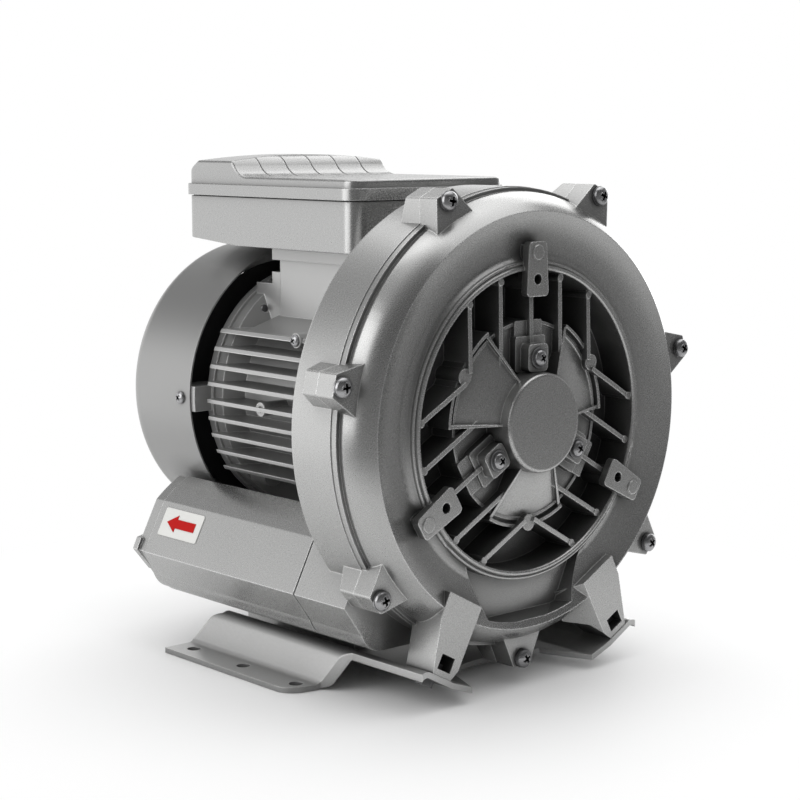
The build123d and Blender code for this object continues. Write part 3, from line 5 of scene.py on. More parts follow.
import bmesh
import bpy
from bpy.props import FloatProperty, FloatVectorProperty, IntProperty, PointerProperty
from mathutils import Matrix, Vector


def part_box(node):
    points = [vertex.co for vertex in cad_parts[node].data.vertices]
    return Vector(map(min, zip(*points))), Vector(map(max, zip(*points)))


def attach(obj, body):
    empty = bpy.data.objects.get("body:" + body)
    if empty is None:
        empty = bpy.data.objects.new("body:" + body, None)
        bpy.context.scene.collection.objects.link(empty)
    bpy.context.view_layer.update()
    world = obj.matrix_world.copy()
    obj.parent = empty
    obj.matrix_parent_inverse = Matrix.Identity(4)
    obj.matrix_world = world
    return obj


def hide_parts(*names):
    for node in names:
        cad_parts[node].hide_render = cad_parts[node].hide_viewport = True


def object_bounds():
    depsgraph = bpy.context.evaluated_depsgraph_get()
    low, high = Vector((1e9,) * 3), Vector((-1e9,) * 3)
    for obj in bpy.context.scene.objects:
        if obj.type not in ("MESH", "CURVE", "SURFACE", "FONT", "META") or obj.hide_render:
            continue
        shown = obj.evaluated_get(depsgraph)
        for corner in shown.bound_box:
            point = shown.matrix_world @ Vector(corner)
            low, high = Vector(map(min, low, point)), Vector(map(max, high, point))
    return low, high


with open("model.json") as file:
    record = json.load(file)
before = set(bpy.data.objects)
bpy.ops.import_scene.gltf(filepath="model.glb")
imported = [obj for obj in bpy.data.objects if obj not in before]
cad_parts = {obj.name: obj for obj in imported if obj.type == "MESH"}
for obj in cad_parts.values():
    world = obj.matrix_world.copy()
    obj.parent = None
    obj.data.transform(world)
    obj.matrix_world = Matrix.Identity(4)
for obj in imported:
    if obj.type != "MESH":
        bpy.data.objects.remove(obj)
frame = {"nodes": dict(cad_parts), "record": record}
CAD_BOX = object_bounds()

bl_info = {
    "name": "Side Channel Blower Looks",
    "version": (1, 0, 0),
    "blender": (4, 5, 0),
    "location": "View3D > Sidebar > Blower",
    "description": "Finishes, screws, threads and studio for a side channel blower",
    "category": "Object",
}

BODY = "blower"
LOW, HIGH = CAD_BOX
CENTRE = (LOW + HIGH) / 2
SHAFT_Z = sum(corner.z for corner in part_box("shaft")) / 2

# Skin of the finishes
PAINT_GRAIN = 0.0000005
FINE_GRAIN = 0.000004
BLOTCH_SCALE = 14.0
# CORNER_POWER shapes the painted shade in corners, EDGE_GAIN the painted highlight along edges.
CORNER_POWER = 1.8
EDGE_GAIN = 12.0
ROUGHNESS_SWING = 0.05
DUST_ROUGHNESS = 0.3
# Defaults of the skin group: Shade And Dust darkens corners as painted shade and roughens them as dust;
# Edge Highlight brightens edges as a painted highlight.
SKIN_INPUTS = {"Roughness": 0.35, "Grain Size": 0.0006, "Grain Depth": 0.00002, "Blotch": 0.08,
               "Dirt": 0.5, "Dirt Reach": 0.02, "Edge Radius": 0.0009, "Worn Edge": 0.5}

# Cross recess: height of its mouth and width of its floor as shares, and its turn from screw to screw
MOUTH_HEIGHT = 0.3
FLOOR_SHARE = 0.62
FIRST_TURN = 0.55
NEXT_TURN = 1.3

# Pipe thread: its seat in the wall, half its width and its least height as shares, and its ends
THREAD_SEAT = 0.0002
THREAD_HALF = 0.42
THREAD_LEAST = 0.05
THREAD_INNER_END = 0.002
THREAD_OUTER_END = 0.001

# Studio
FLOOR_R = 9.0
FLOOR_GAP = 0.0002
AIM_Z = 0.16
SOFTBOXES = (("softbox_left", "key", (-1.5, 0.25, 0.75), (1.3, 1.5)),
             ("softbox_right", "rim", (1.4, 0.55, 0.8), (1.0, 1.8)),
             ("softbox_top", "top", (0.3, 0.1, 1.65), (2.6, 1.4)))
WALL_BRIGHT = (0.10, 0.90, 0.42)
FLOOR_BRIGHT = (0.11, 0.99, 0.0)
STUDIO_TURN = (-0.35, 0.60)
CEILING_STOPS = (0.15, 0.55, 0.85, 1.0)
CEILING_TOP = 0.8
CAMERA_FADE = (0.16, 0.42)
GLOSS_FADE = (0.35, 0.80)
GLOSS_DIM = 0.3


def colour(name, description, default):
    return FloatVectorProperty(name=name, description=description, subtype="COLOR", size=3,
                               min=0.0, max=1.0, default=default)


class FinishSettings(bpy.types.PropertyGroup):
    """Colours and surface sizes of the finishes."""
    casting: colour("Casting", "Silver paint sprayed on the die castings", (0.57, 0.57, 0.565))
    casting_roughness: FloatProperty(name="Casting Roughness", description="Roughness of the castings",
                                     default=0.27, min=0.0, max=1.0)
    motor: colour("Motor", "Duller paint between the cooling fins", (0.50, 0.50, 0.496))
    cowl: colour("Cowl", "Silver paint on the fan cowl", (0.40, 0.40, 0.397))
    sheet: colour("Sheet", "Silver paint on the foot", (0.64, 0.64, 0.635))
    sheet_roughness: FloatProperty(name="Sheet Roughness", description="Roughness of the sheet metal",
                                   default=0.30, min=0.0, max=1.0)
    box: colour("Terminal Box", "Silver paint on the terminal box and its lid", (0.47, 0.47, 0.467))
    zinc: colour("Zinc", "Plating of the screws", (0.50, 0.50, 0.51))
    steel: colour("Steel", "Ground steel of shaft and bearings", (0.55, 0.55, 0.57))
    black: colour("Black", "Black plastic of fan and gland", (0.018, 0.018, 0.019))
    label: colour("Label", "White film of the flow label", (0.68, 0.68, 0.66))
    arrow: colour("Arrow", "Red print of the flow arrow", (0.44, 0.006, 0.005))
    grain: FloatProperty(name="Grain", description="Size of the sprayed grain", subtype="DISTANCE",
                         unit="LENGTH", default=0.0008, min=0.0001, max=0.01)
    edge: FloatProperty(name="Edge Radius", description="Rounding of cast edges", subtype="DISTANCE",
                        unit="LENGTH", default=0.0009, min=0.0, max=0.01)


class ScrewSettings(bpy.types.PropertyGroup):
    """Cross recess in the heads of the pan head screws."""
    reach: FloatProperty(name="Recess Reach", description="Length of the cross as a share of the head",
                         subtype="FACTOR", default=0.58, min=0.1, max=0.9)
    width: FloatProperty(name="Recess Width", description="Width of a bar as a share of the head",
                         subtype="FACTOR", default=0.17, min=0.05, max=0.5)
    depth: FloatProperty(name="Recess Depth", description="Depth of the cross as a share of the head",
                         subtype="FACTOR", default=0.36, min=0.05, max=0.9)


class ThreadSettings(bpy.types.PropertyGroup):
    """Pipe thread inside the two ports."""
    pitch: FloatProperty(name="Pitch", description="Distance from thread to thread", subtype="DISTANCE",
                         unit="LENGTH", default=0.0023, min=0.0005, max=0.01)
    height: FloatProperty(name="Height", description="Height of the thread", subtype="DISTANCE",
                          unit="LENGTH", default=0.0009, min=0.0002, max=0.005)
    steps: IntProperty(name="Steps", description="Facets in one turn", default=48, min=12, max=128)


class StageSettings(bpy.types.PropertyGroup):
    """Camera, floor and lights."""
    azimuth: FloatProperty(name="Azimuth", description="Camera direction about Z", subtype="ANGLE",
                           unit="ROTATION", default=math.radians(-42.0))
    elevation: FloatProperty(name="Elevation", description="Camera height angle", subtype="ANGLE",
                             unit="ROTATION", default=math.radians(8.12))
    roll: FloatProperty(name="Roll", description="Turn of the picture", subtype="ANGLE",
                        unit="ROTATION", default=0.0)
    distance: FloatProperty(name="Distance", description="Camera to target", subtype="DISTANCE",
                            unit="LENGTH", default=1.20085, min=0.1)
    target: FloatVectorProperty(name="Target", description="Point the camera looks at", size=3,
                                subtype="TRANSLATION", unit="LENGTH", default=(-0.03585, -0.0635, 0.17599))
    lens: FloatProperty(name="Lens", description="Focal length on 36 mm film", default=84.92, min=10.0)
    floor: colour("Floor", "Colour of the pale floor", (0.92, 0.92, 0.92))
    key: FloatProperty(name="Key Light", description="Power of the left softbox", subtype="POWER",
                       default=9.0, min=0.0)
    rim: FloatProperty(name="Right Light", description="Power of the right softbox", subtype="POWER",
                       default=9.0, min=0.0)
    top: FloatProperty(name="Top Light", description="Power of the overhead softbox", subtype="POWER",
                       default=11.5, min=0.0)
    fill: FloatProperty(name="Fill", description="Strength of the room's light on matt surfaces",
                        default=0.75, min=0.0)
    ceiling: FloatProperty(name="Dim Ceiling", description="Brightness of the room above the pale walls",
                           default=0.3, min=0.0, max=1.0)
    front_floor: FloatProperty(name="Front Floor", description="Brightness of the far floor in front",
                               default=0.16, min=0.0, max=1.0)
    room: FloatProperty(name="Dark Room", description="Brightness of the room on the camera's side",
                        default=0.13, min=0.0, max=1.0)


# Finishes

def socket(tree, name, kind, default=None, output=False):
    made = tree.interface.new_socket(name, in_out="OUTPUT" if output else "INPUT", socket_type=kind)
    if default is not None:
        made.default_value = default


def link(tree, source, target):
    tree.links.new(source, target)


def maths(tree, kind, first, second=None):
    node = tree.nodes.new("ShaderNodeMath")
    node.operation = kind
    for place, value in enumerate((first, second)):
        if value is None:
            continue
        if isinstance(value, (int, float)):
            node.inputs[place].default_value = value
        else:
            link(tree, value, node.inputs[place])
    return node.outputs[0]


def sprayed_skin():
    """Paint or bare metal skin: fine grain, soft blotches, painted shade with dust roughness in the
    corners, and rounded edges with a painted highlight.
    """
    tree = bpy.data.node_groups.get("Sprayed Skin")
    if tree:
        return tree
    tree = bpy.data.node_groups.new("Sprayed Skin", "ShaderNodeTree")
    socket(tree, "Colour", "NodeSocketColor", (0.5, 0.5, 0.5, 1.0))
    for name, value in SKIN_INPUTS.items():
        socket(tree, name, "NodeSocketFloat", value)
    socket(tree, "Colour", "NodeSocketColor", output=True)
    socket(tree, "Roughness", "NodeSocketFloat", output=True)
    socket(tree, "Normal", "NodeSocketVector", output=True)
    given = tree.nodes.new("NodeGroupInput").outputs
    made = tree.nodes.new("NodeGroupOutput").inputs
    place = tree.nodes.new("ShaderNodeTexCoord").outputs["Object"]

    blotches = tree.nodes.new("ShaderNodeTexNoise")
    blotches.inputs["Scale"].default_value = BLOTCH_SCALE
    blotches.inputs["Detail"].default_value = 3.0
    link(tree, place, blotches.inputs["Vector"])
    swing = maths(tree, "SUBTRACT", blotches.outputs["Fac"], 0.5)
    shade = maths(tree, "ADD", maths(tree, "MULTIPLY", swing, given["Blotch"]), 1.0)

    # Painted shade: occlusion darkens the colour in corners, recesses and gaps; the same mask adds dust
    # roughness there.
    corners = tree.nodes.new("ShaderNodeAmbientOcclusion")
    corners.samples = 4
    link(tree, given["Dirt Reach"], corners.inputs["Distance"])
    open_share = maths(tree, "POWER", corners.outputs["AO"], CORNER_POWER)
    shut = maths(tree, "SUBTRACT", 1.0, open_share)
    shade_and_dust_mask = maths(tree, "MULTIPLY", shut, given["Dirt"])
    unshaded = maths(tree, "SUBTRACT", 1.0, shade_and_dust_mask)
    rounded = tree.nodes.new("ShaderNodeBevel")
    rounded.samples = 4
    link(tree, given["Edge Radius"], rounded.inputs["Radius"])
    # Painted highlight: the colour brightens along edges, where the rounded normal turns from the flat one.
    flat = tree.nodes.new("ShaderNodeNewGeometry").outputs["Normal"]
    bend = tree.nodes.new("ShaderNodeVectorMath")
    bend.operation = "DOT_PRODUCT"
    link(tree, rounded.outputs["Normal"], bend.inputs[0])
    link(tree, flat, bend.inputs[1])
    turned = maths(tree, "MULTIPLY", maths(tree, "SUBTRACT", 1.0, bend.outputs["Value"]), EDGE_GAIN)
    edge_highlight = maths(tree, "MULTIPLY", maths(tree, "MINIMUM", turned, 1.0), given["Worn Edge"])
    level = maths(tree, "MULTIPLY", maths(tree, "MULTIPLY", shade, unshaded), maths(tree, "ADD", edge_highlight, 1.0))
    tint = tree.nodes.new("ShaderNodeVectorMath")
    tint.operation = "SCALE"
    link(tree, given["Colour"], tint.inputs[0])
    link(tree, level, tint.inputs["Scale"])
    link(tree, tint.outputs[0], made["Colour"])

    grain = tree.nodes.new("ShaderNodeTexNoise")
    grain.inputs["Detail"].default_value = 2.0
    link(tree, place, grain.inputs["Vector"])
    link(tree, maths(tree, "DIVIDE", 1.0, given["Grain Size"]), grain.inputs["Scale"])
    rough_swing = maths(tree, "MULTIPLY", maths(tree, "SUBTRACT", grain.outputs["Fac"], 0.5),
                        ROUGHNESS_SWING)
    dusty = maths(tree, "MULTIPLY", shade_and_dust_mask, DUST_ROUGHNESS)
    rough = maths(tree, "ADD", maths(tree, "ADD", given["Roughness"], rough_swing), dusty)
    link(tree, rough, made["Roughness"])

    bump = tree.nodes.new("ShaderNodeBump")
    link(tree, maths(tree, "MULTIPLY", grain.outputs["Fac"], given["Grain Depth"]), bump.inputs["Height"])
    bump.inputs["Distance"].default_value = 1.0
    link(tree, rounded.outputs["Normal"], bump.inputs["Normal"])
    link(tree, bump.outputs["Normal"], made["Normal"])
    return tree


# shade_and_dust sets the painted shade in corners and the dust roughness there, reach its distance;
# edge_highlight sets the painted highlight on edges.
def finish(name, tint, metallic, roughness, grain=None, depth=0.00002, blotch=0.08, shade_and_dust=0.5, reach=0.02,
           edge=None, edge_highlight=0.5, specular=0.5):
    """Material that lays the skin group over a Principled shader of its own."""
    settings = bpy.context.scene.blower_finish
    material = bpy.data.materials.get(name)
    if material:
        return material
    material = bpy.data.materials.new(name)
    material.use_nodes = True
    tree = material.node_tree
    shader = tree.nodes["Principled BSDF"]
    skin = tree.nodes.new("ShaderNodeGroup")
    skin.node_tree = sprayed_skin()
    values = {
        "Colour": (*tint, 1.0),
        "Roughness": roughness,
        "Grain Size": settings.grain if grain is None else grain,
        "Grain Depth": depth,
        "Blotch": blotch,
        "Dirt": shade_and_dust,
        "Dirt Reach": reach,
        "Edge Radius": settings.edge if edge is None else edge,
        "Worn Edge": edge_highlight,
    }
    for key, value in values.items():
        skin.inputs[key].default_value = value
    link(tree, skin.outputs["Colour"], shader.inputs["Base Color"])
    link(tree, skin.outputs["Roughness"], shader.inputs["Roughness"])
    link(tree, skin.outputs["Normal"], shader.inputs["Normal"])
    shader.inputs["Metallic"].default_value = metallic
    shader.inputs["Specular IOR Level"].default_value = specular
    material.diffuse_color = (*tint, 1.0)
    return material


def cast_silver():
    settings = bpy.context.scene.blower_finish
    # Painted shade in its corners and a strong painted highlight on its edges.
    return finish("Sprayed Cast Silver", settings.casting, 0.92, settings.casting_roughness,
                  depth=PAINT_GRAIN, shade_and_dust=0.55, edge_highlight=1.2)


def cover_silver():
    settings = bpy.context.scene.blower_finish
    # Strongest painted shade, reaching deep into the recess, and the strongest painted edge highlight.
    return finish("Sprayed Cover Silver", settings.casting, 0.92, settings.casting_roughness,
                  depth=PAINT_GRAIN, shade_and_dust=0.9, reach=0.028, edge_highlight=1.6)


def motor_silver():
    settings = bpy.context.scene.blower_finish
    # Weak painted shade in its corners and a painted highlight on its edges.
    return finish("Sprayed Motor Silver", settings.motor, 0.7, 0.32, depth=PAINT_GRAIN, shade_and_dust=0.25, edge_highlight=0.8)


def cowl_silver():
    settings = bpy.context.scene.blower_finish
    return finish("Sprayed Cowl Silver", settings.cowl, 0.88, settings.sheet_roughness,
                  depth=PAINT_GRAIN, blotch=0.05)


def sheet_silver():
    settings = bpy.context.scene.blower_finish
    # Strong painted shade in its corners and gaps, such as under the silencers.
    return finish("Sprayed Sheet Silver", settings.sheet, 0.75, settings.sheet_roughness,
                  depth=PAINT_GRAIN, blotch=0.05, shade_and_dust=0.8, reach=0.03)


def box_silver():
    settings = bpy.context.scene.blower_finish
    return finish("Terminal Box Silver", settings.box, 0.9, 0.27, depth=PAINT_GRAIN, blotch=0.04)


def bright_zinc():
    settings = bpy.context.scene.blower_finish
    # Strong painted shade round the screw heads.
    return finish("Bright Zinc", settings.zinc, 0.95, 0.26, depth=FINE_GRAIN, shade_and_dust=0.9, edge=0.0004)


def ground_steel():
    settings = bpy.context.scene.blower_finish
    return finish("Ground Steel", settings.steel, 1.0, 0.2, depth=FINE_GRAIN, shade_and_dust=0.4, edge=0.0003)


def black_plastic():
    settings = bpy.context.scene.blower_finish
    return finish("Black Plastic", settings.black, 0.0, 0.5, depth=0.00001, blotch=0.15, shade_and_dust=0.2,
                  edge=0.0004)


def dress(nodes, material):
    """Gives CAD nodes a finish in place of their plain one."""
    for name in nodes:
        for held in frame["nodes"][name].material_slots:
            held.material = material


# Pieces

def islands(obj):
    """Corner pair of every separate solid in a node's mesh."""
    mesh = bmesh.new()
    mesh.from_mesh(obj.data)
    mesh.verts.ensure_lookup_table()
    seen, boxes = set(), []
    for start in mesh.verts:
        if start.index in seen:
            continue
        stack, points = [start], []
        seen.add(start.index)
        while stack:
            vertex = stack.pop()
            points.append(vertex.co.copy())
            for edge in vertex.link_edges:
                other = edge.other_vert(vertex)
                if other.index not in seen:
                    seen.add(other.index)
                    stack.append(other)
        low = Vector([min(p[k] for p in points) for k in range(3)])
        high = Vector([max(p[k] for p in points) for k in range(3)])
        boxes.append((low, high))
    mesh.free()
    return boxes


def cross_cutter(mesh, top, outward, radius, turn, settings):
    """Adds a tapered cross to a cutter mesh, its mouth just above a screw head."""
    reach = radius * settings.reach
    half = radius * settings.width
    floor = radius * settings.depth * 2.0
    tilt = outward.to_track_quat("Z", "Y").to_matrix().to_4x4()
    for spin in (0.0, math.pi / 2):
        placed = Matrix.Translation(top) @ tilt @ Matrix.Rotation(turn + spin, 4, "Z")
        rings = []
        for height, share in ((radius * MOUTH_HEIGHT, 1.0), (-floor, FLOOR_SHARE)):
            corners = [(-reach, -half), (reach, -half), (reach, half), (-reach, half)]
            rings.append([mesh.verts.new(placed @ Vector((x * share, y * share, height)))
                          for x, y in corners])
        upper, lower = rings
        mesh.faces.new(upper)
        mesh.faces.new(reversed(lower))
        for k in range(4):
            mesh.faces.new((upper[k - 1], lower[k - 1], lower[k], upper[k]))


def cut(piece, cutter_mesh):
    """Subtracts a cutter from a piece and applies the result."""
    data = bpy.data.meshes.new(piece.name + "_cutter")
    bmesh.ops.recalc_face_normals(cutter_mesh, faces=cutter_mesh.faces)
    cutter_mesh.to_mesh(data)
    cutter_mesh.free()
    tool = bpy.data.objects.new(piece.name + "_cutter", data)
    bpy.context.scene.collection.objects.link(tool)
    change = piece.modifiers.new("Recess", "BOOLEAN")
    change.operation = "DIFFERENCE"
    change.object = tool
    change.solver = "EXACT"
    change.use_self = True
    bpy.context.view_layer.update()
    shaped = piece.evaluated_get(bpy.context.evaluated_depsgraph_get())
    result = bpy.data.meshes.new_from_object(shaped)
    piece.modifiers.clear()
    piece.data = result
    bpy.data.objects.remove(tool)


def recessed_screws(node, name, outward_of):
    """Copy of a node's screws with a cross recess in every head, in the node's place."""
    settings = bpy.context.scene.blower_screws
    source = frame["nodes"][node]
    piece = bpy.data.objects.new(name, source.data.copy())
    bpy.context.scene.collection.objects.link(piece)
    cutters = bmesh.new()
    for count, (low, high) in enumerate(islands(source)):
        middle = (low + high) / 2
        outward = outward_of(middle)
        size = high - low
        across = [size[k] for k in range(3) if abs(outward[k]) < 0.5]
        radius = min(across) / 2
        reach = max(abs(outward[k]) * size[k] / 2 for k in range(3))
        top = middle + outward * reach
        cross_cutter(cutters, top, outward, radius, FIRST_TURN + NEXT_TURN * count, settings)
    cut(piece, cutters)
    piece.data.materials.clear()
    piece.data.materials.append(bright_zinc())
    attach(piece, BODY)
    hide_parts(node)


def along(x, y, z):
    return lambda middle: Vector((x, y, z))


def from_shaft(middle):
    """Main direction, across the shaft, from the shaft's line to a point."""
    height = middle.z - SHAFT_Z
    if abs(height) > abs(middle.x):
        return Vector((0, 0, math.copysign(1, height)))
    return Vector((math.copysign(1, middle.x), 0, 0))


def helix(name, centre, radius, start, end, settings):
    """Ridge of a thread inside a bore along Y, as one swept triangle."""
    mesh = bmesh.new()
    turns = (end - start) / settings.pitch
    count = int(turns * settings.steps)
    rings = []
    for k in range(count + 1):
        angle = 2 * math.pi * k / settings.steps
        y = start + settings.pitch * k / settings.steps
        rise = min(1.0, k / settings.steps, (count - k) / settings.steps)
        out = Vector((math.cos(angle), 0, math.sin(angle)))
        foot = radius + THREAD_SEAT
        crest = radius - settings.height * max(rise, THREAD_LEAST)
        half = settings.pitch * THREAD_HALF
        rings.append([mesh.verts.new(centre + out * foot + Vector((0, y - half, 0))),
                      mesh.verts.new(centre + out * crest + Vector((0, y, 0))),
                      mesh.verts.new(centre + out * foot + Vector((0, y + half, 0)))])
    for a, b in zip(rings, rings[1:]):
        for k in range(3):
            mesh.faces.new((a[k], a[(k + 1) % 3], b[(k + 1) % 3], b[k]))
    mesh.faces.new(rings[0][::-1])
    mesh.faces.new(rings[-1])
    bmesh.ops.recalc_face_normals(mesh, faces=mesh.faces)
    data = bpy.data.meshes.new(name)
    mesh.to_mesh(data)
    mesh.free()
    piece = bpy.data.objects.new(name, data)
    bpy.context.scene.collection.objects.link(piece)
    return piece


class BLOWER_OT_castings(bpy.types.Operator):
    """Finish the die castings: cover, housing, motor, silencers and end caps"""
    bl_idname = "blower.castings"
    bl_label = "Castings"

    def execute(self, context):
        dress(["front_cover"], cover_silver())
        dress(["rear_housing", "outlet_silencer", "inlet_silencer", "outlet_end_cap",
               "inlet_end_cap"], cast_silver())
        dress(["motor_housing", "rear_end_shield"], motor_silver())
        dress(["impeller", "bearing_retainer", "rotor_end_rings"], ground_steel())
        return {"FINISHED"}


class BLOWER_OT_sheet_metal(bpy.types.Operator):
    """Finish the drawn cowl and the bent foot"""
    bl_idname = "blower.sheet_metal"
    bl_label = "Sheet Metal"

    def execute(self, context):
        dress(["fan_cowl"], cowl_silver())
        dress(["foot_plate"], sheet_silver())
        return {"FINISHED"}


class BLOWER_OT_terminal_box(bpy.types.Operator):
    """Finish the terminal box, its lid, gaskets, gland and terminals"""
    bl_idname = "blower.terminal_box"
    bl_label = "Terminal Box"

    def execute(self, context):
        dress(["terminal_box", "terminal_lid"], box_silver())
        dress(["box_gasket", "lid_gasket"], finish("Grey Rubber", (0.09, 0.09, 0.09), 0.0, 0.6))
        dress(["shaft_seal", "cable_gland", "blanking_plug", "gland_nuts"],
              black_plastic())
        ivory = finish("Terminal Ivory", (0.70, 0.68, 0.58), 0.0, 0.45, edge=0.0004)
        brass = finish("Terminal Brass", (0.72, 0.52, 0.22), 1.0, 0.25, edge=0.0003)
        dress(["terminal_block"], ivory)
        dress(["terminal_studs"], brass)
        return {"FINISHED"}


class BLOWER_OT_rotating_parts(bpy.types.Operator):
    """Finish the shaft, bearings, motor core, windings and fan"""
    bl_idname = "blower.rotating_parts"
    bl_label = "Rotating Parts"

    def execute(self, context):
        dress(["shaft", "shaft_spacer", "impeller_key", "front_bearing_outer_ring",
               "front_bearing_inner_ring", "front_bearing_balls", "front_bearing_cage",
               "rear_bearing_outer_ring", "rear_bearing_inner_ring", "rear_bearing_balls",
               "rear_bearing_cage", "wave_spring", "fan_circlip"], ground_steel())
        dress(["cooling_fan"], black_plastic())
        core = finish("Laminated Core", (0.22, 0.22, 0.23), 0.9, 0.45, edge=0.0003)
        copper = finish("Varnished Copper", (0.45, 0.17, 0.07), 0.7, 0.35, grain=0.0012, depth=0.0002)
        dress(["stator_core", "rotor_core"], core)
        dress(["stator_windings"], copper)
        foam = finish("Open Foam", (0.035, 0.035, 0.037), 0.0, 0.95, grain=0.0016, depth=0.0006,
                      blotch=0.4)
        dress(["outlet_lining", "inlet_lining"], foam)
        return {"FINISHED"}


class BLOWER_OT_screws(bpy.types.Operator):
    """Cut cross recesses into the pan head screws and finish all fasteners"""
    bl_idname = "blower.screws"
    bl_label = "Screws"

    def execute(self, context):
        dress(["cover_washers", "hub_washers", "motor_bolts", "end_shield_bolts", "box_screws",
               "foot_bolts", "foot_nuts"], bright_zinc())
        recessed_screws("cover_screws", "cover_screws_recessed", along(0, -1, 0))
        recessed_screws("hub_screws", "hub_screws_recessed", along(0, -1, 0))
        recessed_screws("silencer_tie_screws", "tie_screws_recessed", along(0, 1, 0))
        recessed_screws("lid_screws", "lid_screws_recessed", along(0, 1, 0))
        recessed_screws("earth_screw", "earth_screw_recessed", along(-1, 0, 0))
        recessed_screws("cowl_screws", "cowl_screws_recessed", from_shaft)
        return {"FINISHED"}


class BLOWER_OT_port_threads(bpy.types.Operator):
    """Add the pipe thread inside both ports"""
    bl_idname = "blower.port_threads"
    bl_label = "Port Threads"

    def execute(self, context):
        settings = context.scene.blower_thread
        for mount in frame["record"]["mounts"]:
            if mount["name"] not in ("outlet_port", "inlet_port"):
                continue
            radius = mount["dims"]["r_mm"] / 1000
            length = mount["dims"]["length_mm"] / 1000
            x, y, z = mount["pos_m"]
            piece = helix(mount["name"] + "_thread", Vector((x, 0, z)), radius,
                          y - length / 2 + THREAD_INNER_END, y + length / 2 - THREAD_OUTER_END,
                          settings)
            piece.data.materials.append(cast_silver())
            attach(piece, BODY)
        return {"FINISHED"}


class BLOWER_OT_flow_label(bpy.types.Operator):
    """Finish the white flow label and its red arrow"""
    bl_idname = "blower.flow_label"
    bl_label = "Flow Label"

    def execute(self, context):
        settings = context.scene.blower_finish
        dress(["flow_label"], finish("Label Film", settings.label, 0.0, 0.45, depth=FINE_GRAIN,
                                     blotch=0.05, shade_and_dust=0.3, edge=0.0002, edge_highlight=0.0,
                                     specular=0.2))
        dress(["flow_arrow"], finish("Arrow Print", settings.arrow, 0.0, 0.5, depth=FINE_GRAIN,
                                     blotch=0.1, shade_and_dust=0.2, edge=0.0001, edge_highlight=0.0,
                                     specular=0.1))
        return {"FINISHED"}


def softbox(name, place, aim, size, power):
    data = bpy.data.lights.new(name, "AREA")
    data.shape = "RECTANGLE"
    data.size, data.size_y = size
    data.energy = power
    lamp = bpy.data.objects.new(name, data)
    lamp.location = place
    lamp.rotation_euler = (Vector(aim) - Vector(place)).to_track_quat("-Z", "Y").to_euler()
    bpy.context.scene.collection.objects.link(lamp)


def fade(tree, value, start, end, low=0.0):
    """Rises softly from low at the start to one at the end."""
    ramp = tree.nodes.new("ShaderNodeMapRange")
    ramp.interpolation_type = "SMOOTHSTEP"
    ramp.inputs["From Min"].default_value = start
    ramp.inputs["From Max"].default_value = end
    ramp.inputs["To Min"].default_value = low
    link(tree, value, ramp.inputs["Value"])
    return ramp.outputs["Result"]


def studio_ramp(tree, direction, towards, dark):
    """Brightness of the studio by direction: white behind the object, dark on the camera's side."""
    behind = tree.nodes.new("ShaderNodeVectorMath")
    behind.operation = "DOT_PRODUCT"
    behind.inputs[1].default_value = Vector(towards).normalized()
    link(tree, direction, behind.inputs[0])
    return fade(tree, behind.outputs["Value"], *STUDIO_TURN, dark)


def ceiling_band(tree, direction, dark):
    """Dimmer band of the studio between its pale walls and the overhead softbox."""
    height = tree.nodes.new("ShaderNodeSeparateXYZ")
    link(tree, direction, height.inputs[0])
    band = tree.nodes.new("ShaderNodeValToRGB")
    ramp = band.color_ramp
    ramp.interpolation = "EASE"
    walls, dim, dim_end, overhead = CEILING_STOPS
    ramp.elements[0].position, ramp.elements[0].color = walls, (1, 1, 1, 1)
    ramp.elements[1].position, ramp.elements[1].color = dim, (dark, dark, dark, 1)
    ramp.elements.new(dim_end).color = (dark, dark, dark, 1)
    ramp.elements.new(overhead).color = (CEILING_TOP, CEILING_TOP, CEILING_TOP, 1)
    link(tree, height.outputs["Z"], band.inputs["Fac"])
    return band.outputs["Color"]


def seen_in_gloss(tree, path):
    """One for rays that a shiny or clear surface sends out."""
    return maths(tree, "MAXIMUM", path.outputs["Is Glossy Ray"], path.outputs["Is Transmission Ray"])


def background(tree, level, strength=1.0):
    shader = tree.nodes.new("ShaderNodeBackground")
    shader.inputs["Strength"].default_value = strength
    if isinstance(level, float):
        shader.inputs["Color"].default_value = (level, level, level, 1)
    else:
        link(tree, level, shader.inputs["Color"])
    return shader.outputs[0]


def mixed(tree, factor, first, second):
    mix = tree.nodes.new("ShaderNodeMixShader")
    link(tree, factor, mix.inputs["Fac"])
    link(tree, first, mix.inputs[1])
    link(tree, second, mix.inputs[2])
    return mix.outputs[0]


def backdrop_world(settings):
    """White to the camera, a studio with a dark side to metal, and an even fill to matt surfaces."""
    world = bpy.data.worlds.new("Studio")
    world.use_nodes = True
    tree = world.node_tree
    tree.nodes.clear()
    path = tree.nodes.new("ShaderNodeLightPath")
    place = tree.nodes.new("ShaderNodeTexCoord").outputs["Generated"]
    room = maths(tree, "MULTIPLY", studio_ramp(tree, place, WALL_BRIGHT, settings.room),
                 ceiling_band(tree, place, settings.ceiling))
    plain = mixed(tree, seen_in_gloss(tree, path), background(tree, 1.0, settings.fill),
                  background(tree, room))
    out = tree.nodes.new("ShaderNodeOutputWorld")
    link(tree, mixed(tree, path.outputs["Is Camera Ray"], plain, background(tree, 1.0)),
         out.inputs["Surface"])
    bpy.context.scene.world = world


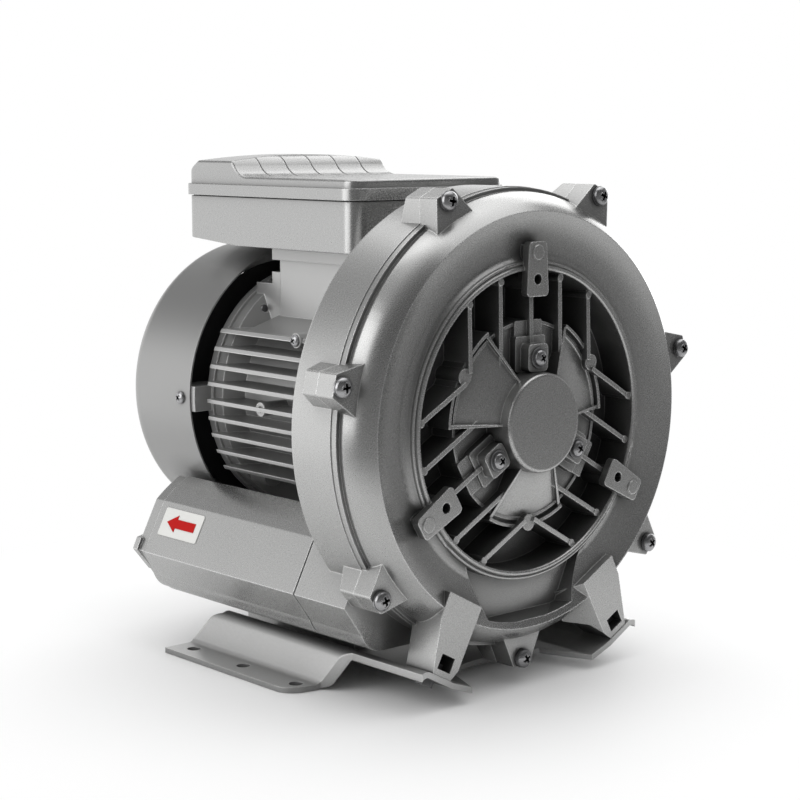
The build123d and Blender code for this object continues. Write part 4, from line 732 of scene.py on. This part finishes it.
def floor_material(settings):
    """Pale floor that fades into the studio away from the object."""
    material = bpy.data.materials.new("Studio Floor")
    material.use_nodes = True
    tree = material.node_tree
    shader = tree.nodes["Principled BSDF"]
    shader.inputs["Roughness"].default_value = 0.6
    shader.inputs["Specular IOR Level"].default_value = 0.15
    place = tree.nodes.new("ShaderNodeTexCoord").outputs["Object"]
    far = tree.nodes.new("ShaderNodeVectorMath")
    far.operation = "LENGTH"
    link(tree, place, far.inputs[0])
    outward = tree.nodes.new("ShaderNodeVectorMath")
    outward.operation = "NORMALIZE"
    link(tree, place, outward.inputs[0])
    path = tree.nodes.new("ShaderNodeLightPath")
    camera, gloss = path.outputs["Is Camera Ray"], seen_in_gloss(tree, path)
    dimmed = maths(tree, "SUBTRACT", 1.0, maths(tree, "MULTIPLY", gloss, GLOSS_DIM))
    tint = tree.nodes.new("ShaderNodeVectorMath")
    tint.operation = "SCALE"
    tint.inputs[0].default_value = settings.floor
    link(tree, dimmed, tint.inputs["Scale"])
    link(tree, tint.outputs[0], shader.inputs["Base Color"])
    room = studio_ramp(tree, outward.outputs[0], FLOOR_BRIGHT, settings.front_floor)
    glow = tree.nodes.new("ShaderNodeEmission")
    link(tree, maths(tree, "MAXIMUM", room, camera), glow.inputs["Color"])
    reached = far.outputs["Value"]
    seen = maths(tree, "ADD", maths(tree, "MULTIPLY", camera, fade(tree, reached, *CAMERA_FADE)),
                 maths(tree, "MULTIPLY", gloss, fade(tree, reached, *GLOSS_FADE)))
    link(tree, mixed(tree, seen, shader.outputs[0], glow.outputs[0]),
         tree.nodes["Material Output"].inputs["Surface"])
    return material


class BLOWER_OT_stage(bpy.types.Operator):
    """Set the floor, the softboxes, the world and the camera"""
    bl_idname = "blower.stage"
    bl_label = "Stage"

    def execute(self, context):
        scene = context.scene
        settings = scene.blower_stage
        scene.view_settings.view_transform = "Standard"
        mesh = bmesh.new()
        bmesh.ops.create_circle(mesh, cap_ends=True, segments=96, radius=FLOOR_R)
        data = bpy.data.meshes.new("studio_floor")
        mesh.to_mesh(data)
        mesh.free()
        data.materials.append(floor_material(settings))
        floor = bpy.data.objects.new("studio_floor", data)
        floor.location = (CENTRE.x, CENTRE.y, LOW.z - FLOOR_GAP)
        scene.collection.objects.link(floor)

        aim = (CENTRE.x, CENTRE.y, AIM_Z)
        for name, power, place, size in SOFTBOXES:
            softbox(name, place, aim, size, getattr(settings, power))
        backdrop_world(settings)

        data = bpy.data.cameras.new("camera")
        data.lens = settings.lens
        data.sensor_width = 36.0
        data.clip_start = 0.01
        camera = bpy.data.objects.new("camera", data)
        az, el = settings.azimuth, settings.elevation
        back = Vector((math.sin(az) * math.cos(el), -math.cos(az) * math.cos(el), math.sin(el)))
        turn = Matrix.Rotation(az, 4, "Z") @ Matrix.Rotation(math.pi / 2 - el, 4, "X")
        turn = turn @ Matrix.Rotation(settings.roll, 4, "Z")
        camera.matrix_world = Matrix.Translation(Vector(settings.target) + back * settings.distance) @ turn
        scene.collection.objects.link(camera)
        scene.camera = camera
        return {"FINISHED"}


class BLOWER_PT_panel(bpy.types.Panel):
    """Buttons and settings of the blower's looks"""
    bl_label = "Blower"
    bl_idname = "BLOWER_PT_panel"
    bl_space_type = "VIEW_3D"
    bl_region_type = "UI"
    bl_category = "Blower"

    def draw(self, context):
        layout = self.layout
        for operator in OPERATORS:
            layout.operator(operator.bl_idname)
        for group in (context.scene.blower_finish, context.scene.blower_screws,
                      context.scene.blower_thread, context.scene.blower_stage):
            column = layout.column()
            for name in group.__annotations__:
                column.prop(group, name)


OPERATORS = (BLOWER_OT_castings, BLOWER_OT_sheet_metal, BLOWER_OT_terminal_box,
             BLOWER_OT_rotating_parts, BLOWER_OT_screws, BLOWER_OT_port_threads,
             BLOWER_OT_flow_label, BLOWER_OT_stage)
GROUPS = {"blower_finish": FinishSettings, "blower_screws": ScrewSettings,
          "blower_thread": ThreadSettings, "blower_stage": StageSettings}


def register():
    for name, group in GROUPS.items():
        bpy.utils.register_class(group)
        setattr(bpy.types.Scene, name, PointerProperty(type=group))
    for operator in OPERATORS:
        bpy.utils.register_class(operator)
    bpy.utils.register_class(BLOWER_PT_panel)


def unregister():
    bpy.utils.unregister_class(BLOWER_PT_panel)
    for operator in reversed(OPERATORS):
        bpy.utils.unregister_class(operator)
    for name, group in GROUPS.items():
        delattr(bpy.types.Scene, name)
        bpy.utils.unregister_class(group)


def main():
    register()
    bpy.ops.blower.castings()
    bpy.ops.blower.sheet_metal()
    bpy.ops.blower.terminal_box()
    bpy.ops.blower.rotating_parts()
    bpy.ops.blower.screws()
    bpy.ops.blower.port_threads()
    bpy.ops.blower.flow_label()
    bpy.ops.blower.stage()


if __name__ == "__main__":
    main()
